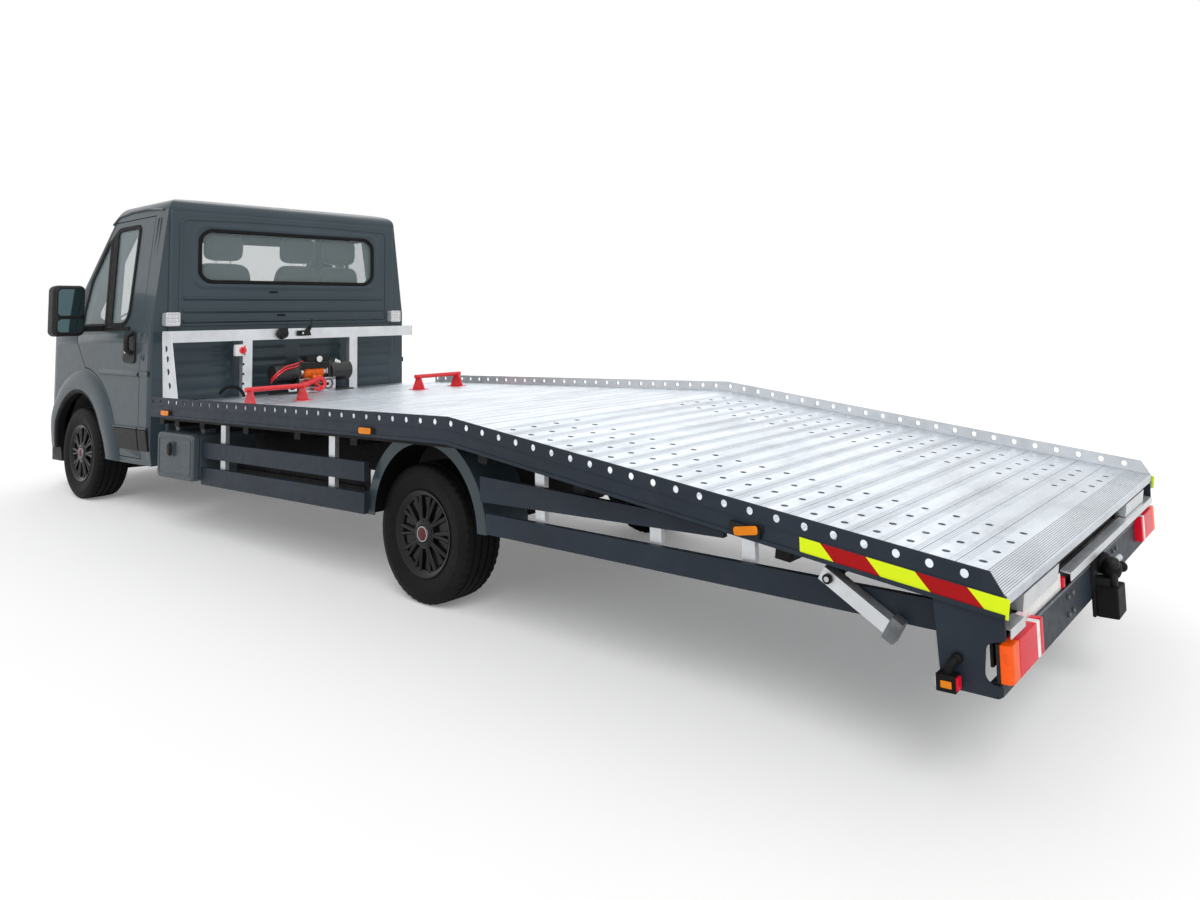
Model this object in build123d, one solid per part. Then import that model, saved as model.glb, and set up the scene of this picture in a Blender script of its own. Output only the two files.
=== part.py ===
from build123d import *
import math
import os

# Car transporter: a three-seat chassis cab with a fixed aluminium deck that is level over the
# frame and slopes down behind the rear axle. Everything is modelled in a level body frame:
# x = 0 at the rear axle, +X forward, +Y left, z = 0 at the ground under the rear tyres.
# The unladen body stands nose-down, so at the end every piece turns about the rear axle by the
# rake, which puts all four tyres on one floor, and moves so that the origin is the middle of
# the whole machine's box, at floor level.

# ---------------------------------------------------------------- driving dimensions, mm, degrees
wheelbase = 4035
nose_drop = 134            # how far the front axle is above the rear axle in the level body frame
tyre_radius = 341
tyre_width = 235
wheel_seat_radius = 203    # where the tyre sits on its rim
rear_track = 1699          # between the rear tyres' middles
front_track = 1830
hub_bore_radius = 30.05
stub_radius = 30
joint_gap = 0.3            # between a moving piece and the seat that carries it
panel_gap = 5              # between a moving panel and its frame

cab_back_x = 2890
cab_half_width = 1025
cab_wall = 60
nose_wall = 25
front_overhang = 948
sill_z = 455
sill_height = 40
belt_z = 1405              # where the wings end and the pillars begin
roof_split_z = 2235
roof_top_z = 2352
glass_inset = 2
glass_thickness = 6
firewall_x = 4320
firewall_thickness = 25
floor_z = 780
floor_thickness = 30
back_gap_half = 700        # half of the gap under the back wall, for the chassis
bumper_top_z = 900
bonnet_front_z = 1030
bonnet_half_width = 780
bonnet_back_x = 4560
arch_radius = 450
arch_inner_y = 585
liner_thickness = 8
shut_line_radius = 640     # of the door's front edge, round the front wheel
door_back_x = 3040
door_front_x = 4150
door_top_z = 2200

deck_z = 886               # top of the level deck
deck_slope = 7.91
kink_x = -411              # where the level deck ends and the slope begins
slope_length = 2505
rail_front_x = 2590
deck_front_x = 2830
deck_half_width = 1132     # to the outside of the side rails
front_deck_half_width = 1000
rail_wall = 5
rail_height = 124
rail_rise = 59             # of the side rails above the deck
hole_radius = 13.5
hole_pitch = 107
hole_drop = 27             # below the side rail's top edge
first_flat_hole = 85
first_slope_hole = 24
plank_thickness = 30
plank_pitch = 122
plank_joint = 2
first_slope_joint = 93
ribbed_plank = 94
strip_depth = 65
strip_width = 40
cross_height = 40
cross_width = 60
bearer_width = 70
flat_bearer_height = 111
slope_bearer_height = 65
rail_y = 465               # middle of each chassis rail
chassis_rail_height = 140
chassis_back_x = -725

ramp_width = 395
ramp_height = 55
ramp_length = 2100
ramp_y = 748
beam_z = 1290              # underside of the headboard's beam
beam_height = 80
beam_depth = 45
beam_half_length = 984
headboard_x = 2725
post_y = 430
post_width = 70

leg_pivot_s = 1937         # along the slope from the kink
leg_angle = 31             # below level, as it is stowed
leg_length = 268
leg_tube = 48
leg_y = 1090

# ------------------------------------------------------------------------------ derived places
rake = math.asin(nose_drop / wheelbase)
front_x = wheelbase * math.cos(rake)
front_z = tyre_radius + nose_drop
nose_x = front_x + front_overhang
slope = math.radians(deck_slope)
chassis_top_z = deck_z - plank_thickness - strip_depth - cross_height - flat_bearer_height
chassis_low_z = chassis_top_z - chassis_rail_height
firewall_front_x = firewall_x + firewall_thickness
kingpin_y = front_track / 2 - tyre_width / 2 - 38


# ------------------------------------------------------------------------------ small helpers
def outline(points, radii=0):
    """A closed face through points in a plane, its corners rounded by radii."""
    if isinstance(radii, (int, float)):
        radii = [radii] * len(points)
    return make_face(FilletPolyline(*points, radius=radii, close=True))


def across(face, y0, y1):
    """The face is drawn in x and z, and fills from y0 to y1."""
    return extrude(Plane.XZ.offset(-y1) * face, amount=y1 - y0, dir=(0, -1, 0))


def along(face, x0, x1):
    """The face is drawn in y and z, and fills from x0 to x1."""
    return extrude(Plane.YZ.offset(x0) * face, amount=x1 - x0, dir=(1, 0, 0))


def upward(face, z0, z1):
    """The face is drawn in x and y, and fills from z0 to z1."""
    return extrude(Plane.XY.offset(z0) * face, amount=z1 - z0, dir=(0, 0, 1))


def block(x0, x1, y0, y1, z0, z1):
    """A box between two opposite corners."""
    return Pos((x0 + x1) / 2, (y0 + y1) / 2, (z0 + z1) / 2) * Box(abs(x1 - x0), abs(y1 - y0), abs(z1 - z0))


def rod_y(x, z, y0, y1, radius):
    """A round bar across the vehicle."""
    return Pos(x, (y0 + y1) / 2, z) * Rot(90, 0, 0) * Cylinder(radius, y1 - y0)


def rod_x(y, z, x0, x1, radius):
    """A round bar along the vehicle."""
    return Pos((x0 + x1) / 2, y, z) * Rot(0, 90, 0) * Cylinder(radius, x1 - x0)


def rod_z(x, y, z0, z1, radius):
    """An upright round bar."""
    return Pos(x, y, (z0 + z1) / 2) * Cylinder(radius, z1 - z0)


def spun(points, radii=0):
    """A solid of revolution about Y, from an outline of (radius, y) points."""
    return revolve(outline(points, radii), axis=Axis.Y)


def fuse(pieces):
    """The union of a list of solids."""
    whole = pieces[0]
    for piece in pieces[1:]:
        whole = whole + piece
    return whole


def mirrored(piece):
    """The same piece on the other side of the vehicle."""
    return mirror(piece, about=Plane.XZ)


def both(piece):
    """A piece and its mirror image, as separate solids."""
    return [piece, mirrored(piece)]


def deck_point(s, depth):
    """A point at depth under the deck, s along it behind the kink. It is ahead of the kink if s < 0."""
    if s < 0:
        return (kink_x - s, deck_z - depth)
    return (kink_x - s * math.cos(slope) + depth * math.sin(slope),
            deck_z - s * math.sin(slope) - depth * math.cos(slope))


def kink_point(depth):
    """Where the level line and the sloping line at one depth under the deck meet."""
    return (kink_x + depth * math.tan(slope / 2), deck_z - depth)


def strip(front_x, back_s, top, bottom, y0, y1):
    """A bar that follows the deck, from x = front_x over the kink to back_s, between two depths."""
    points = [(front_x, deck_z - top), kink_point(top), deck_point(back_s, top),
              deck_point(back_s, bottom), kink_point(bottom), (front_x, deck_z - bottom)]
    return across(outline(points), y0, y1)


def slope_bar(s0, s1, top, bottom, y0, y1):
    """A bar under the sloping deck, between two places along it and two depths."""
    points = [deck_point(s0, top), deck_point(s1, top), deck_point(s1, bottom), deck_point(s0, bottom)]
    return across(outline(points), y0, y1)


nodes = {}


def add(name, pieces):
    """Keep one or more solids as a named node."""
    if not isinstance(pieces, list):
        pieces = [pieces]
    solids = [solid for piece in pieces for solid in piece.solids()]
    nodes[name] = Compound(children=solids)


# ------------------------------------------------------------------------------ the cab's form
# side outline: x, z, corner radius
side_rows = [
    (cab_back_x, 380, 0),
    (cab_back_x, 2285, 60),
    (3010, 2325, 300),
    (3420, roof_top_z, 1200),
    (3800, 2308, 220),
    (4540, 1430, 40),
    (4860, 1255, 260),
    (4955, 1040, 160),
    (nose_x, 760, 200),
    (nose_x - 6, 470, 60),
    (nose_x - 90, 380, 0),
]
# front outline, left half: y, z, corner radius
front_rows = [
    (980, 300, 0),
    (cab_half_width, 700, 300),
    (cab_half_width, 1330, 600),
    (912, 2310, 95),
]
roof_middle = (0, 2362, 5000)
# plan outline, left half: x, y, corner radius
plan_rows = [
    (cab_back_x - 40, cab_half_width + 3, 100),
    (nose_x - 81, cab_half_width + 3, 480),
    (nose_x + 9, 500, 600),
]
screen_top = (3800, 2308)
screen_base = (4540, 1430)
screen_bulge_radius = 4500


def inset_face(rows, inset):
    """The outline of rows, made smaller all round."""
    face = outline([row[:2] for row in rows], [row[2] for row in rows])
    return offset(face, amount=-inset) if inset else face


def cab_block(inset):
    """The cab's whole form, shrunk by inset on every side."""
    front = front_rows + [roof_middle] + [(-y, z, r) for y, z, r in reversed(front_rows)]
    plan = plan_rows + [(x, -y, r) for x, y, r in reversed(plan_rows)]
    form = across(inset_face(side_rows, inset), -cab_half_width - 50, cab_half_width + 50)
    form &= along(inset_face(front, inset), cab_back_x - 50, nose_x + 50)
    form &= upward(inset_face(plan, inset), 350, roof_top_z + 50)
    # the screen is part of a wide cylinder, so the pillars stand behind its middle
    run = math.hypot(screen_base[0] - screen_top[0], screen_top[1] - screen_base[1])
    lean = math.atan2(screen_top[1] - screen_base[1], screen_base[0] - screen_top[0])
    middle = ((screen_top[0] + screen_base[0]) / 2, (screen_top[1] + screen_base[1]) / 2)
    depth = screen_bulge_radius
    axis_x = middle[0] - depth * math.sin(lean)
    axis_z = middle[1] - depth * math.cos(lean)
    drum = (Pos(axis_x, 0, axis_z) * Rot(0, math.degrees(lean) + 90, 0)
            * Cylinder(screen_bulge_radius - inset, 3 * run))
    ahead = block(screen_top[0] - 500, nose_x + 50, -1100, 1100, screen_base[1] - inset, roof_top_z + 50)
    return form - (ahead - drum)


def slab(x0, x1, z0, z1):
    """A box across the whole cab."""
    return block(x0, x1, -1200, 1200, z0, z1)


outer = cab_block(0)
cabin = cab_block(cab_wall) + block(cab_back_x + cab_wall, firewall_front_x, -965, 965, 300, floor_z)
cabin = cabin - slab(firewall_front_x, nose_x + 50, 0, 2500)
bay = cab_block(nose_wall) + block(firewall_front_x, nose_x - 120, -900, 900, 300, 500)

cab_shell = outer - cabin - slab(firewall_front_x, nose_x + 50, 0, belt_z) - slab(0, nose_x, 0, sill_z)
nose_shell = outer - bay
glass_shell = cab_block(glass_inset) - cab_block(glass_inset + glass_thickness)

# ------------------------------------------------------------------------------ doors and windows
shut_low = (front_x - shut_line_radius, front_z)
shut_high_z = 1113
shut_high = (front_x - math.sqrt(shut_line_radius ** 2 - (shut_high_z - front_z) ** 2), shut_high_z)
shut_bow = (front_x - shut_line_radius * math.cos(math.radians(45)),
            front_z + shut_line_radius * math.sin(math.radians(45)))
door_low_z = sill_z + sill_height


def door_face():
    """The door opening, seen from the side."""
    low_x = front_x - math.sqrt(shut_line_radius ** 2 - (door_low_z - front_z) ** 2)
    edges = [
        ThreePointArc((low_x, door_low_z), shut_bow, shut_high),
        Polyline(shut_high, (door_front_x, 1312), (door_front_x, 1440), (4085, 1750), (3740, door_top_z),
                 (door_back_x + 35, door_top_z), (door_back_x, 1450), (door_back_x, door_low_z),
                 (low_x, door_low_z)),
    ]
    return make_face(edges)


main_window = outline([(3268, 1425), (3300, 2140), (3680, 2140), (3560, 1425)], [110, 45, 45, 25])
quarter_window = outline([(3650, 1425), (3765, 2070), (3815, 2040), (4025, 1765), (4078, 1540), (4078, 1425)],
                         [15, 15, 15, 60, 60, 15])
door_opening = across(door_face(), 700, 1200)
door_body = across(offset(door_face(), amount=-panel_gap, kind=Kind.INTERSECTION), 700, 1200)
door_windows = across(main_window, 700, 1200) + across(quarter_window, 700, 1200)

screen_outline = outline([(-830, 1480), (-735, 2245), (735, 2245), (830, 1480)], 60)
screen_tool = along(screen_outline, screen_top[0] - 400, nose_x)
back_window = outline([(-706, 1721), (-706, 2094), (706, 2094), (706, 1721)], 90)
back_window_tool = along(back_window, cab_back_x - 20, cab_back_x + 200)

wing_region = (slab(firewall_front_x, nose_x + 50, bumper_top_z, belt_z)
               + across(outline([shut_low, shut_high, (door_front_x, 1312), (door_front_x, belt_z),
                                 (firewall_front_x, belt_z), (firewall_front_x, sill_z),
                                 (shut_low[0], sill_z)]), -1200, 1200)
               + rod_y(front_x, front_z, -1200, 1200, shut_line_radius))
wing_region &= slab(shut_low[0], nose_x + 50, sill_z, belt_z)
wheel_arch = rod_y(front_x, front_z, -1200, 1200, arch_radius)
headlamp_face = outline([(640, bumper_top_z), (600, 1035), (700, 1060), (900, 1190), (960, 1190), (960, 960),
                         (900, bumper_top_z)], [10, 20, 60, 30, 30, 60, 30])
headlamp_tool = along(headlamp_face, 4560, nose_x + 50)
headlamp_tools = headlamp_tool + mirrored(headlamp_tool)
headlamp_room = along(offset(headlamp_face, amount=panel_gap), 4560, nose_x + 50)

cab_only = cab_shell - (wing_region & slab(0, nose_x, 0, belt_z))
cab_only -= screen_tool
cab_only -= back_window_tool
cab_only -= door_opening + mirrored(door_opening)
cab_only -= slab(bonnet_back_x, nose_x + 50, 0, 2500)

add("cab_roof", cab_only & slab(0, nose_x, roof_split_z, 2500))
back_wall_x = cab_back_x + cab_wall
back_wall = cab_only & slab(0, back_wall_x, 0, roof_split_z)
floor_low_z = floor_z - floor_thickness
add("cab_rear_wall", back_wall - block(0, back_wall_x, -back_gap_half, back_gap_half, 0, floor_low_z))
cowl_half_width = 760
sides = cab_only & slab(back_wall_x, nose_x, 0, roof_split_z)
cowl_box = block(door_front_x + 50, nose_x, -cowl_half_width, cowl_half_width, 0, 1700)
cowl = sides & cowl_box
bonnet_rest = block(bonnet_back_x - 10, bonnet_back_x + panel_gap - joint_gap, 600, 660, belt_z, belt_z + 12)
for rest in both(bonnet_rest):
    cowl += rest
sides = sides - cowl_box
striker = block(door_back_x - 1, door_back_x + panel_gap - joint_gap, 975, 1010, 1180, 1240)
hinge_tab = block(door_front_x - panel_gap + joint_gap, door_front_x + 1, 975, 1010, 1335, 1395)
left_side = (sides & block(0, nose_x, 0, 1200, 0, 2500)) + striker
add("cab_side_left", left_side)
add("cab_side_right", mirrored(left_side))

wings = (nose_shell & wing_region) - wheel_arch - headlamp_tools
wings -= slab(front_x + arch_radius, nose_x + 50, 0, bumper_top_z)
wings = wings - block(0, nose_x + 50, -bonnet_half_width - panel_gap, bonnet_half_width + panel_gap, 0, 2500)
left_wing = (wings & block(0, nose_x + 50, 0, 1200, 0, 2500)) + hinge_tab
add("front_wings", both(left_wing))

bonnet_room = block(bonnet_back_x + panel_gap, nose_x + 50, -bonnet_half_width, bonnet_half_width,
                    bonnet_front_z, 1500)
add("bonnet", nose_shell & bonnet_room - headlamp_room - mirrored(headlamp_room))
bumper = nose_shell & (slab(front_x + arch_radius, nose_x + 50, 380, bumper_top_z)
                       + block(4700, nose_x + 50, -700, 700, bumper_top_z, bonnet_front_z - panel_gap))
bumper = bumper - headlamp_tools - wheel_arch
add("front_bumper", bumper)
headlamp = (outer - cab_block(60)) & headlamp_tool
add("headlamps", both(headlamp))

add("windscreen", glass_shell & screen_tool)
add("rear_window", glass_shell & back_window_tool & slab(0, cab_back_x + 100, 0, 2500))

door_left = (cab_shell + across(outline([(3000, sill_z), (3000, floor_z), (4200, floor_z), (4200, sill_z)]),
                                cab_half_width - cab_wall, cab_half_width) & outer) & door_body
door_left = door_left - door_windows
door_left = door_left & block(0, nose_x, 0, 1200, 0, 2500)
add("door_left", door_left)
add("door_right", mirrored(door_left))
door_glass = glass_shell & door_windows
add("door_glass_left", door_glass)
add("door_glass_right", mirrored(door_glass))

# ------------------------------------------------------------------------------ floor and firewall
def wheelhouse(radius, y0, y1):
    """The space of one wheel house, as a drum round the front axle."""
    return rod_y(front_x, front_z, y0, y1, radius)


liner_outer = arch_radius + 2 * liner_thickness
liner_y = cab_half_width - cab_wall - 10
floor_pan = block(back_wall_x, firewall_x, -liner_y, liner_y, floor_low_z, floor_z)
firewall = block(firewall_x, firewall_front_x, -liner_y, liner_y, floor_low_z, belt_z) & cab_block(nose_wall)
house = wheelhouse(liner_outer, arch_inner_y - liner_thickness, liner_y)
hollow = wheelhouse(liner_outer - liner_thickness, arch_inner_y, liner_y + 5)
below_axle = block(front_x - 700, front_x + 700, 400, 1200, 0, front_z + 40)
ahead_of_bay = block(firewall_front_x + 160, nose_x, 400, 1200, 0, 2000)
house = house - hollow - below_axle - ahead_of_bay
floor_body = floor_pan + firewall + cowl
for side in both(wheelhouse(liner_outer, arch_inner_y - liner_thickness, 1200)):
    floor_body -= side
floor_body = fuse([floor_body, house, mirrored(house)])
for rib in both(block(back_wall_x, back_wall_x + 40, back_gap_half, liner_y, sill_z, floor_low_z)):
    floor_body += rib
add("cab_floor", floor_body)

# ------------------------------------------------------------------------------ inside the cab
dash_x = 4000
dash_rows = [(firewall_x, 1100), (firewall_x, 1390), (dash_x + 90, 1370), (dash_x, 1300), (dash_x + 20, 1120),
             (dash_x + 140, 1060)]
dashboard = across(outline(dash_rows, [0, 0, 40, 40, 40, 40]), -cab_half_width + cab_wall + 90,
                   cab_half_width - cab_wall - 90) & cab_block(cab_wall + 60)
console = block(dash_x + 60, firewall_x, -150, 150, floor_z, 1100)
driver_y = 400
wheel_lean = 28
wheel_hub = (dash_x - 190, 1480)
column_length = 300
column_middle = (wheel_hub[0] + column_length / 2 * math.cos(math.radians(wheel_lean)),
                 wheel_hub[1] - column_length / 2 * math.sin(math.radians(wheel_lean)))
column = (Pos(column_middle[0], driver_y, column_middle[1]) * Rot(0, 90 + wheel_lean, 0)
          * Cylinder(28, column_length))
steering_wheel = Pos(wheel_hub[0], driver_y, wheel_hub[1]) * Rot(0, 90 + wheel_lean, 0) * (
    Torus(190, 15) + Cylinder(60, 40) + Box(30, 360, 16))
add("dashboard", fuse([dashboard, console, column, steering_wheel]))

seat_x = 3180               # the backrest's rear face at its foot
seat_z = 1240               # top of the cushions
seat_half_width = 225
back_height = 640           # of the backrests above the cushions


def seat(y0, y1):
    """A cushion on a plinth, with a raked backrest."""
    base = block(seat_x + 80, seat_x + 500, y0 + 40, y1 - 40, floor_z, seat_z - 110)
    cushion_rows = [(seat_x + 20, seat_z - 110), (seat_x + 560, seat_z - 110), (seat_x + 570, seat_z + 10),
                    (seat_x + 20, seat_z - 15)]
    back_rows = [(seat_x + 20, seat_z - 60), (seat_x + 150, seat_z - 60), (seat_x + 40, seat_z + back_height),
                 (seat_x - 60, seat_z + back_height)]
    cushion = across(outline(cushion_rows, [20, 40, 50, 20]), y0, y1)
    back = across(outline(back_rows, [20, 40, 40, 30]), y0 + 15, y1 - 15)
    return base + cushion + back


def head_rest(y):
    """A headrest with its two posts."""
    low_z = seat_z + back_height + 18
    high_z = low_z + 210
    pad_rows = [(seat_x - 62, low_z), (seat_x + 38, low_z), (seat_x + 20, high_z), (seat_x - 50, high_z)]
    pad = across(outline(pad_rows, [25, 35, 40, 30]), y - 142, y + 142)
    posts = [rod_z(seat_x - 15, y + offset_y, low_z - 30, low_z + 20, 6) for offset_y in (-55, 55)]
    return fuse([pad] + posts)


driver_seat = seat(driver_y - seat_half_width, driver_y + seat_half_width) + head_rest(driver_y)
bench = seat(-760, -10) + head_rest(-200) + head_rest(-570)
add("seats", [driver_seat, bench])

# ------------------------------------------------------------------------------ chassis
chassis_front_x = nose_x - 120
rail_half = bearer_width / 2
rails = both(block(chassis_back_x, chassis_front_x, rail_y - rail_half, rail_y + rail_half, chassis_low_z,
                   chassis_top_z))
chassis = fuse(rails)
cross_places = (chassis_back_x + 60, 560, 1400, 2300, 3300)
for x in cross_places:
    chassis += block(x, x + 80, -rail_y, rail_y, chassis_low_z + 20, chassis_top_z - 20)
chassis += block(chassis_front_x - 60, chassis_front_x, -700, 700, chassis_low_z, chassis_top_z)
cab_mount_places = (back_wall_x + 150, 4180)
for x in cab_mount_places:
    for pad in both(block(x - 60, x + 60, rail_y - rail_half, rail_y + rail_half, chassis_top_z,
                          floor_z - floor_thickness)):
        chassis += pad
for stay in both(block(chassis_front_x - 30, nose_x + 10, 470, 560, chassis_low_z + 20, chassis_top_z - 20)):
    chassis += stay & bay
for mount in both(block(4480, 4580, 300, rail_y - rail_half, 590, 630)):
    chassis += mount
add("chassis_frame", chassis)

engine_low_z = 560
engine_side_y = 300
engine = block(firewall_front_x + 20, 4760, -engine_side_y, engine_side_y, engine_low_z, 1150)
engine += block(4150, firewall_front_x + 20, -engine_side_y, engine_side_y, engine_low_z, 700)
add("engine", engine)

tank = block(2420, 3270, 130, rail_y - rail_half - 20, 440, chassis_top_z)
tank_bracket = block(2800, 2840, 200, rail_y - rail_half, 600, 620)
add("fuel_tank", fillet(tank.edges().filter_by(Axis.X), 30) + tank_bracket)
pipe_y = -250
pipe_z = 470
exhaust = rod_x(pipe_y, pipe_z, 700, 4230, 32) + rod_x(pipe_y, pipe_z, 1560, 2260, 85)
exhaust += rod_z(4190, pipe_y, pipe_z, engine_low_z, 26)
for x in (1100, 3150):
    exhaust += block(x, x + 30, pipe_y, -rail_y + rail_half, pipe_z, pipe_z + 20)
    exhaust += block(x, x + 30, -rail_y - rail_half, -rail_y + rail_half, pipe_z, chassis_low_z)
add("exhaust", exhaust)

# ------------------------------------------------------------------------------ running gear
side_y = tyre_width / 2
tyre_face = [(wheel_seat_radius, -88), (wheel_seat_radius + 28, -106), (tyre_radius - 70, -side_y),
             (tyre_radius - 22, 10 - side_y), (tyre_radius, 30 - side_y), (tyre_radius, side_y - 30),
             (tyre_radius - 22, side_y - 10), (tyre_radius - 70, side_y), (wheel_seat_radius + 28, 106),
             (wheel_seat_radius, 88)]
tyre_radii = [6, 25, 90, 25, 12, 12, 25, 90, 25, 6]
rim_face = [(wheel_seat_radius, -88), (wheel_seat_radius, 88), (wheel_seat_radius + 13, 98),
            (wheel_seat_radius + 3, 101), (wheel_seat_radius - 14, 70), (wheel_seat_radius - 18, 40),
            (110, 34), (90, 52), (hub_bore_radius, 52), (hub_bore_radius, -36), (62, -36), (62, 20),
            (108, 16), (wheel_seat_radius - 22, 20), (wheel_seat_radius - 22, -70),
            (wheel_seat_radius + 3, -101), (wheel_seat_radius + 13, -98)]
spoke_count = 10
spoke_ring_radius = 142


def wheel_rim():
    """A rim whose outer side is at +Y, with a window between each two spokes."""
    rim = spun(rim_face, 0)
    for k in range(spoke_count):
        turn = Rot(0, 360 / spoke_count * k, 0)
        rim -= turn * Pos(spoke_ring_radius, 20, 0) * Rot(90, 0, 0) * Cylinder(19, 90)
    return rim


rear_y = rear_track / 2
front_y = front_track / 2
wheel_places = [("front_left", front_x, front_y, front_z), ("front_right", front_x, -front_y, front_z),
                ("rear_left", 0, rear_y, tyre_radius), ("rear_right", 0, -rear_y, tyre_radius)]
tyre_left = spun(tyre_face, tyre_radii)
rim_left = wheel_rim()
for name, x, y, z in wheel_places:
    at = Pos(x, y, z)
    add("tyre_" + name, at * (tyre_left if y > 0 else mirrored(tyre_left)))
    add("rim_" + name, at * (rim_left if y > 0 else mirrored(rim_left)))

stub_end_y = 40            # outwards from the wheel's middle
knuckle_low = front_z - 120
knuckle_high = front_z + 110
knuckle = rod_z(front_x, kingpin_y, knuckle_low, knuckle_high, 32)
knuckle += rod_y(front_x, front_z, kingpin_y, front_y + stub_end_y, stub_radius)
knuckle += rod_y(front_x, front_z, kingpin_y + 20, front_y - 36 - joint_gap, 52)
knuckle += block(front_x - 150, front_x, kingpin_y - 12, kingpin_y + 12, front_z - 60, front_z - 40)
add("knuckle_left", knuckle)
add("knuckle_right", mirrored(knuckle))

arm_z = knuckle_low - joint_gap
arm = upward(outline([(front_x - 180, rail_y - 60), (front_x + 180, rail_y - 60), (front_x + 25, kingpin_y),
                      (front_x - 25, kingpin_y)]), arm_z - 30, arm_z)
arm += rod_z(front_x, kingpin_y, arm_z - 30, arm_z, 30)
arm += block(front_x - 200, front_x + 200, 200, rail_y - 50, arm_z - 30, arm_z)
arm += block(front_x - 60, front_x + 60, 380, rail_y, arm_z, chassis_low_z)
spring_z = front_z + tyre_radius + 25
strut = rod_z(front_x, kingpin_y, knuckle_high + joint_gap, spring_z + 20, 22)
strut += rod_z(front_x, kingpin_y - 32, spring_z, front_z + liner_outer, 62)
suspension = both(strut & wheelhouse(liner_outer - liner_thickness - joint_gap, 0, 1200))
suspension.append(fuse(both(arm) + [block(front_x - 150, front_x + 150, -210, 210, arm_z - 30, arm_z)]))
add("front_suspension", suspension)

axle_radius = 38
axle = rod_y(0, tyre_radius, -rear_y + 36 + joint_gap, rear_y - 36 - joint_gap, axle_radius)
axle += rod_y(0, tyre_radius, -rear_y - stub_end_y, rear_y + stub_end_y, stub_radius)
spring_y = rail_y
leaf_half_length = 600
leaf_low = tyre_radius + axle_radius
leaf_z = leaf_low + 10
leaf_rise = 55
for piece in both(block(-70, 70, spring_y - 32, spring_y + 32, tyre_radius, leaf_z + 30)
                  + across(outline([(-leaf_half_length, leaf_z + leaf_rise), (0, leaf_z),
                                    (leaf_half_length, leaf_z + leaf_rise),
                                    (leaf_half_length, leaf_z + leaf_rise + 16), (0, leaf_z + 30),
                                    (-leaf_half_length, leaf_z + leaf_rise + 16)],
                                   [0, 2500, 0, 0, 2500, 0]), spring_y - 30, spring_y + 30)
                  + rod_y(leaf_half_length, leaf_z + leaf_rise + 12, spring_y - 30, spring_y + 30, 22)
                  + rod_y(-leaf_half_length, leaf_z + leaf_rise + 12, spring_y - 30, spring_y + 30, 22)
                  + block(leaf_half_length - 20, leaf_half_length + 20, spring_y - 30, spring_y + 30,
                          leaf_z + leaf_rise + 12, chassis_low_z)
                  + block(-leaf_half_length - 15, -leaf_half_length + 15, spring_y - 30, spring_y + 30,
                          leaf_z + leaf_rise + 12, chassis_low_z)):
    axle += piece
add("rear_axle", axle)

# ------------------------------------------------------------------------------ deck
rail_top = -rail_rise
rail_inner_y = deck_half_width - rail_wall
back_top_s = slope_length - 55
flange = 40


def side_rail():
    """The left side rail: a web with strap holes, a lip along its foot and a flange under the deck."""
    web_points = [(rail_front_x, deck_z - rail_top), kink_point(rail_top), deck_point(back_top_s, rail_top),
                  deck_point(slope_length, 8), deck_point(slope_length, rail_height + rail_top),
                  kink_point(rail_height + rail_top), (rail_front_x, deck_z - rail_height - rail_top)]
    web = across(outline(web_points), rail_inner_y, deck_half_width)
    web += strip(rail_front_x, slope_length, plank_thickness, plank_thickness + rail_wall,
                 rail_inner_y - flange, rail_inner_y)
    web += strip(rail_front_x, slope_length, rail_height + rail_top - 14, rail_height + rail_top,
                 deck_half_width, deck_half_width + 4)
    for x, z in strap_holes():
        web -= rod_y(x, z, rail_inner_y - 10, deck_half_width + 10, hole_radius)
    return web


def strap_holes():
    """The middles of the strap holes, in x and z."""
    depth = rail_top + hole_drop
    first_x = kink_x + first_flat_hole
    flat_count = int((rail_front_x - 25 - first_x) / hole_pitch) + 1
    slope_count = int((back_top_s - 10 - first_slope_hole) / hole_pitch) + 1
    flat = [(first_x + hole_pitch * k, deck_z - depth) for k in range(flat_count)]
    return flat + [deck_point(first_slope_hole + hole_pitch * k, depth) for k in range(slope_count)]


add("side_rails", both(side_rail()))

plank_half_width = rail_inner_y - 3
band_holes = (440, 587, 737, 870)
deck_hole_radius = 14
planks = []
flat_length = rail_front_x - kink_point(plank_thickness)[0]
flat_count = round(flat_length / plank_pitch)
flat_pitch = flat_length / flat_count
for k in range(flat_count):
    x1 = rail_front_x - k * flat_pitch
    planks.append(block(x1 - flat_pitch + plank_joint, x1, -plank_half_width, plank_half_width,
                        deck_z - plank_thickness, deck_z))
joints = [first_slope_joint + plank_pitch * k
          for k in range(int((slope_length - ribbed_plank - first_slope_joint) / plank_pitch) + 1)]
starts = [plank_joint] + joints
ends = joints + [slope_length]
for k, (s0, s1) in enumerate(zip(starts, ends)):
    plank = slope_bar(s0, s1 - plank_joint, 0, plank_thickness, -plank_half_width, plank_half_width)
    if 0 < k < len(joints):
        x, z = deck_point((s0 + s1) / 2, 0)
        punch = Rot(0, -deck_slope, 0) * Cylinder(deck_hole_radius, 3 * plank_thickness)
        for y in band_holes:
            plank -= Pos(x, y, z) * punch
            plank -= Pos(x, -y, z) * punch
    planks.append(plank)
front_plank = block(rail_front_x + plank_joint, deck_front_x, -front_deck_half_width, front_deck_half_width,
                    deck_z - plank_thickness, deck_z)
planks.append(front_plank)
add("deck_planks", planks)

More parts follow.
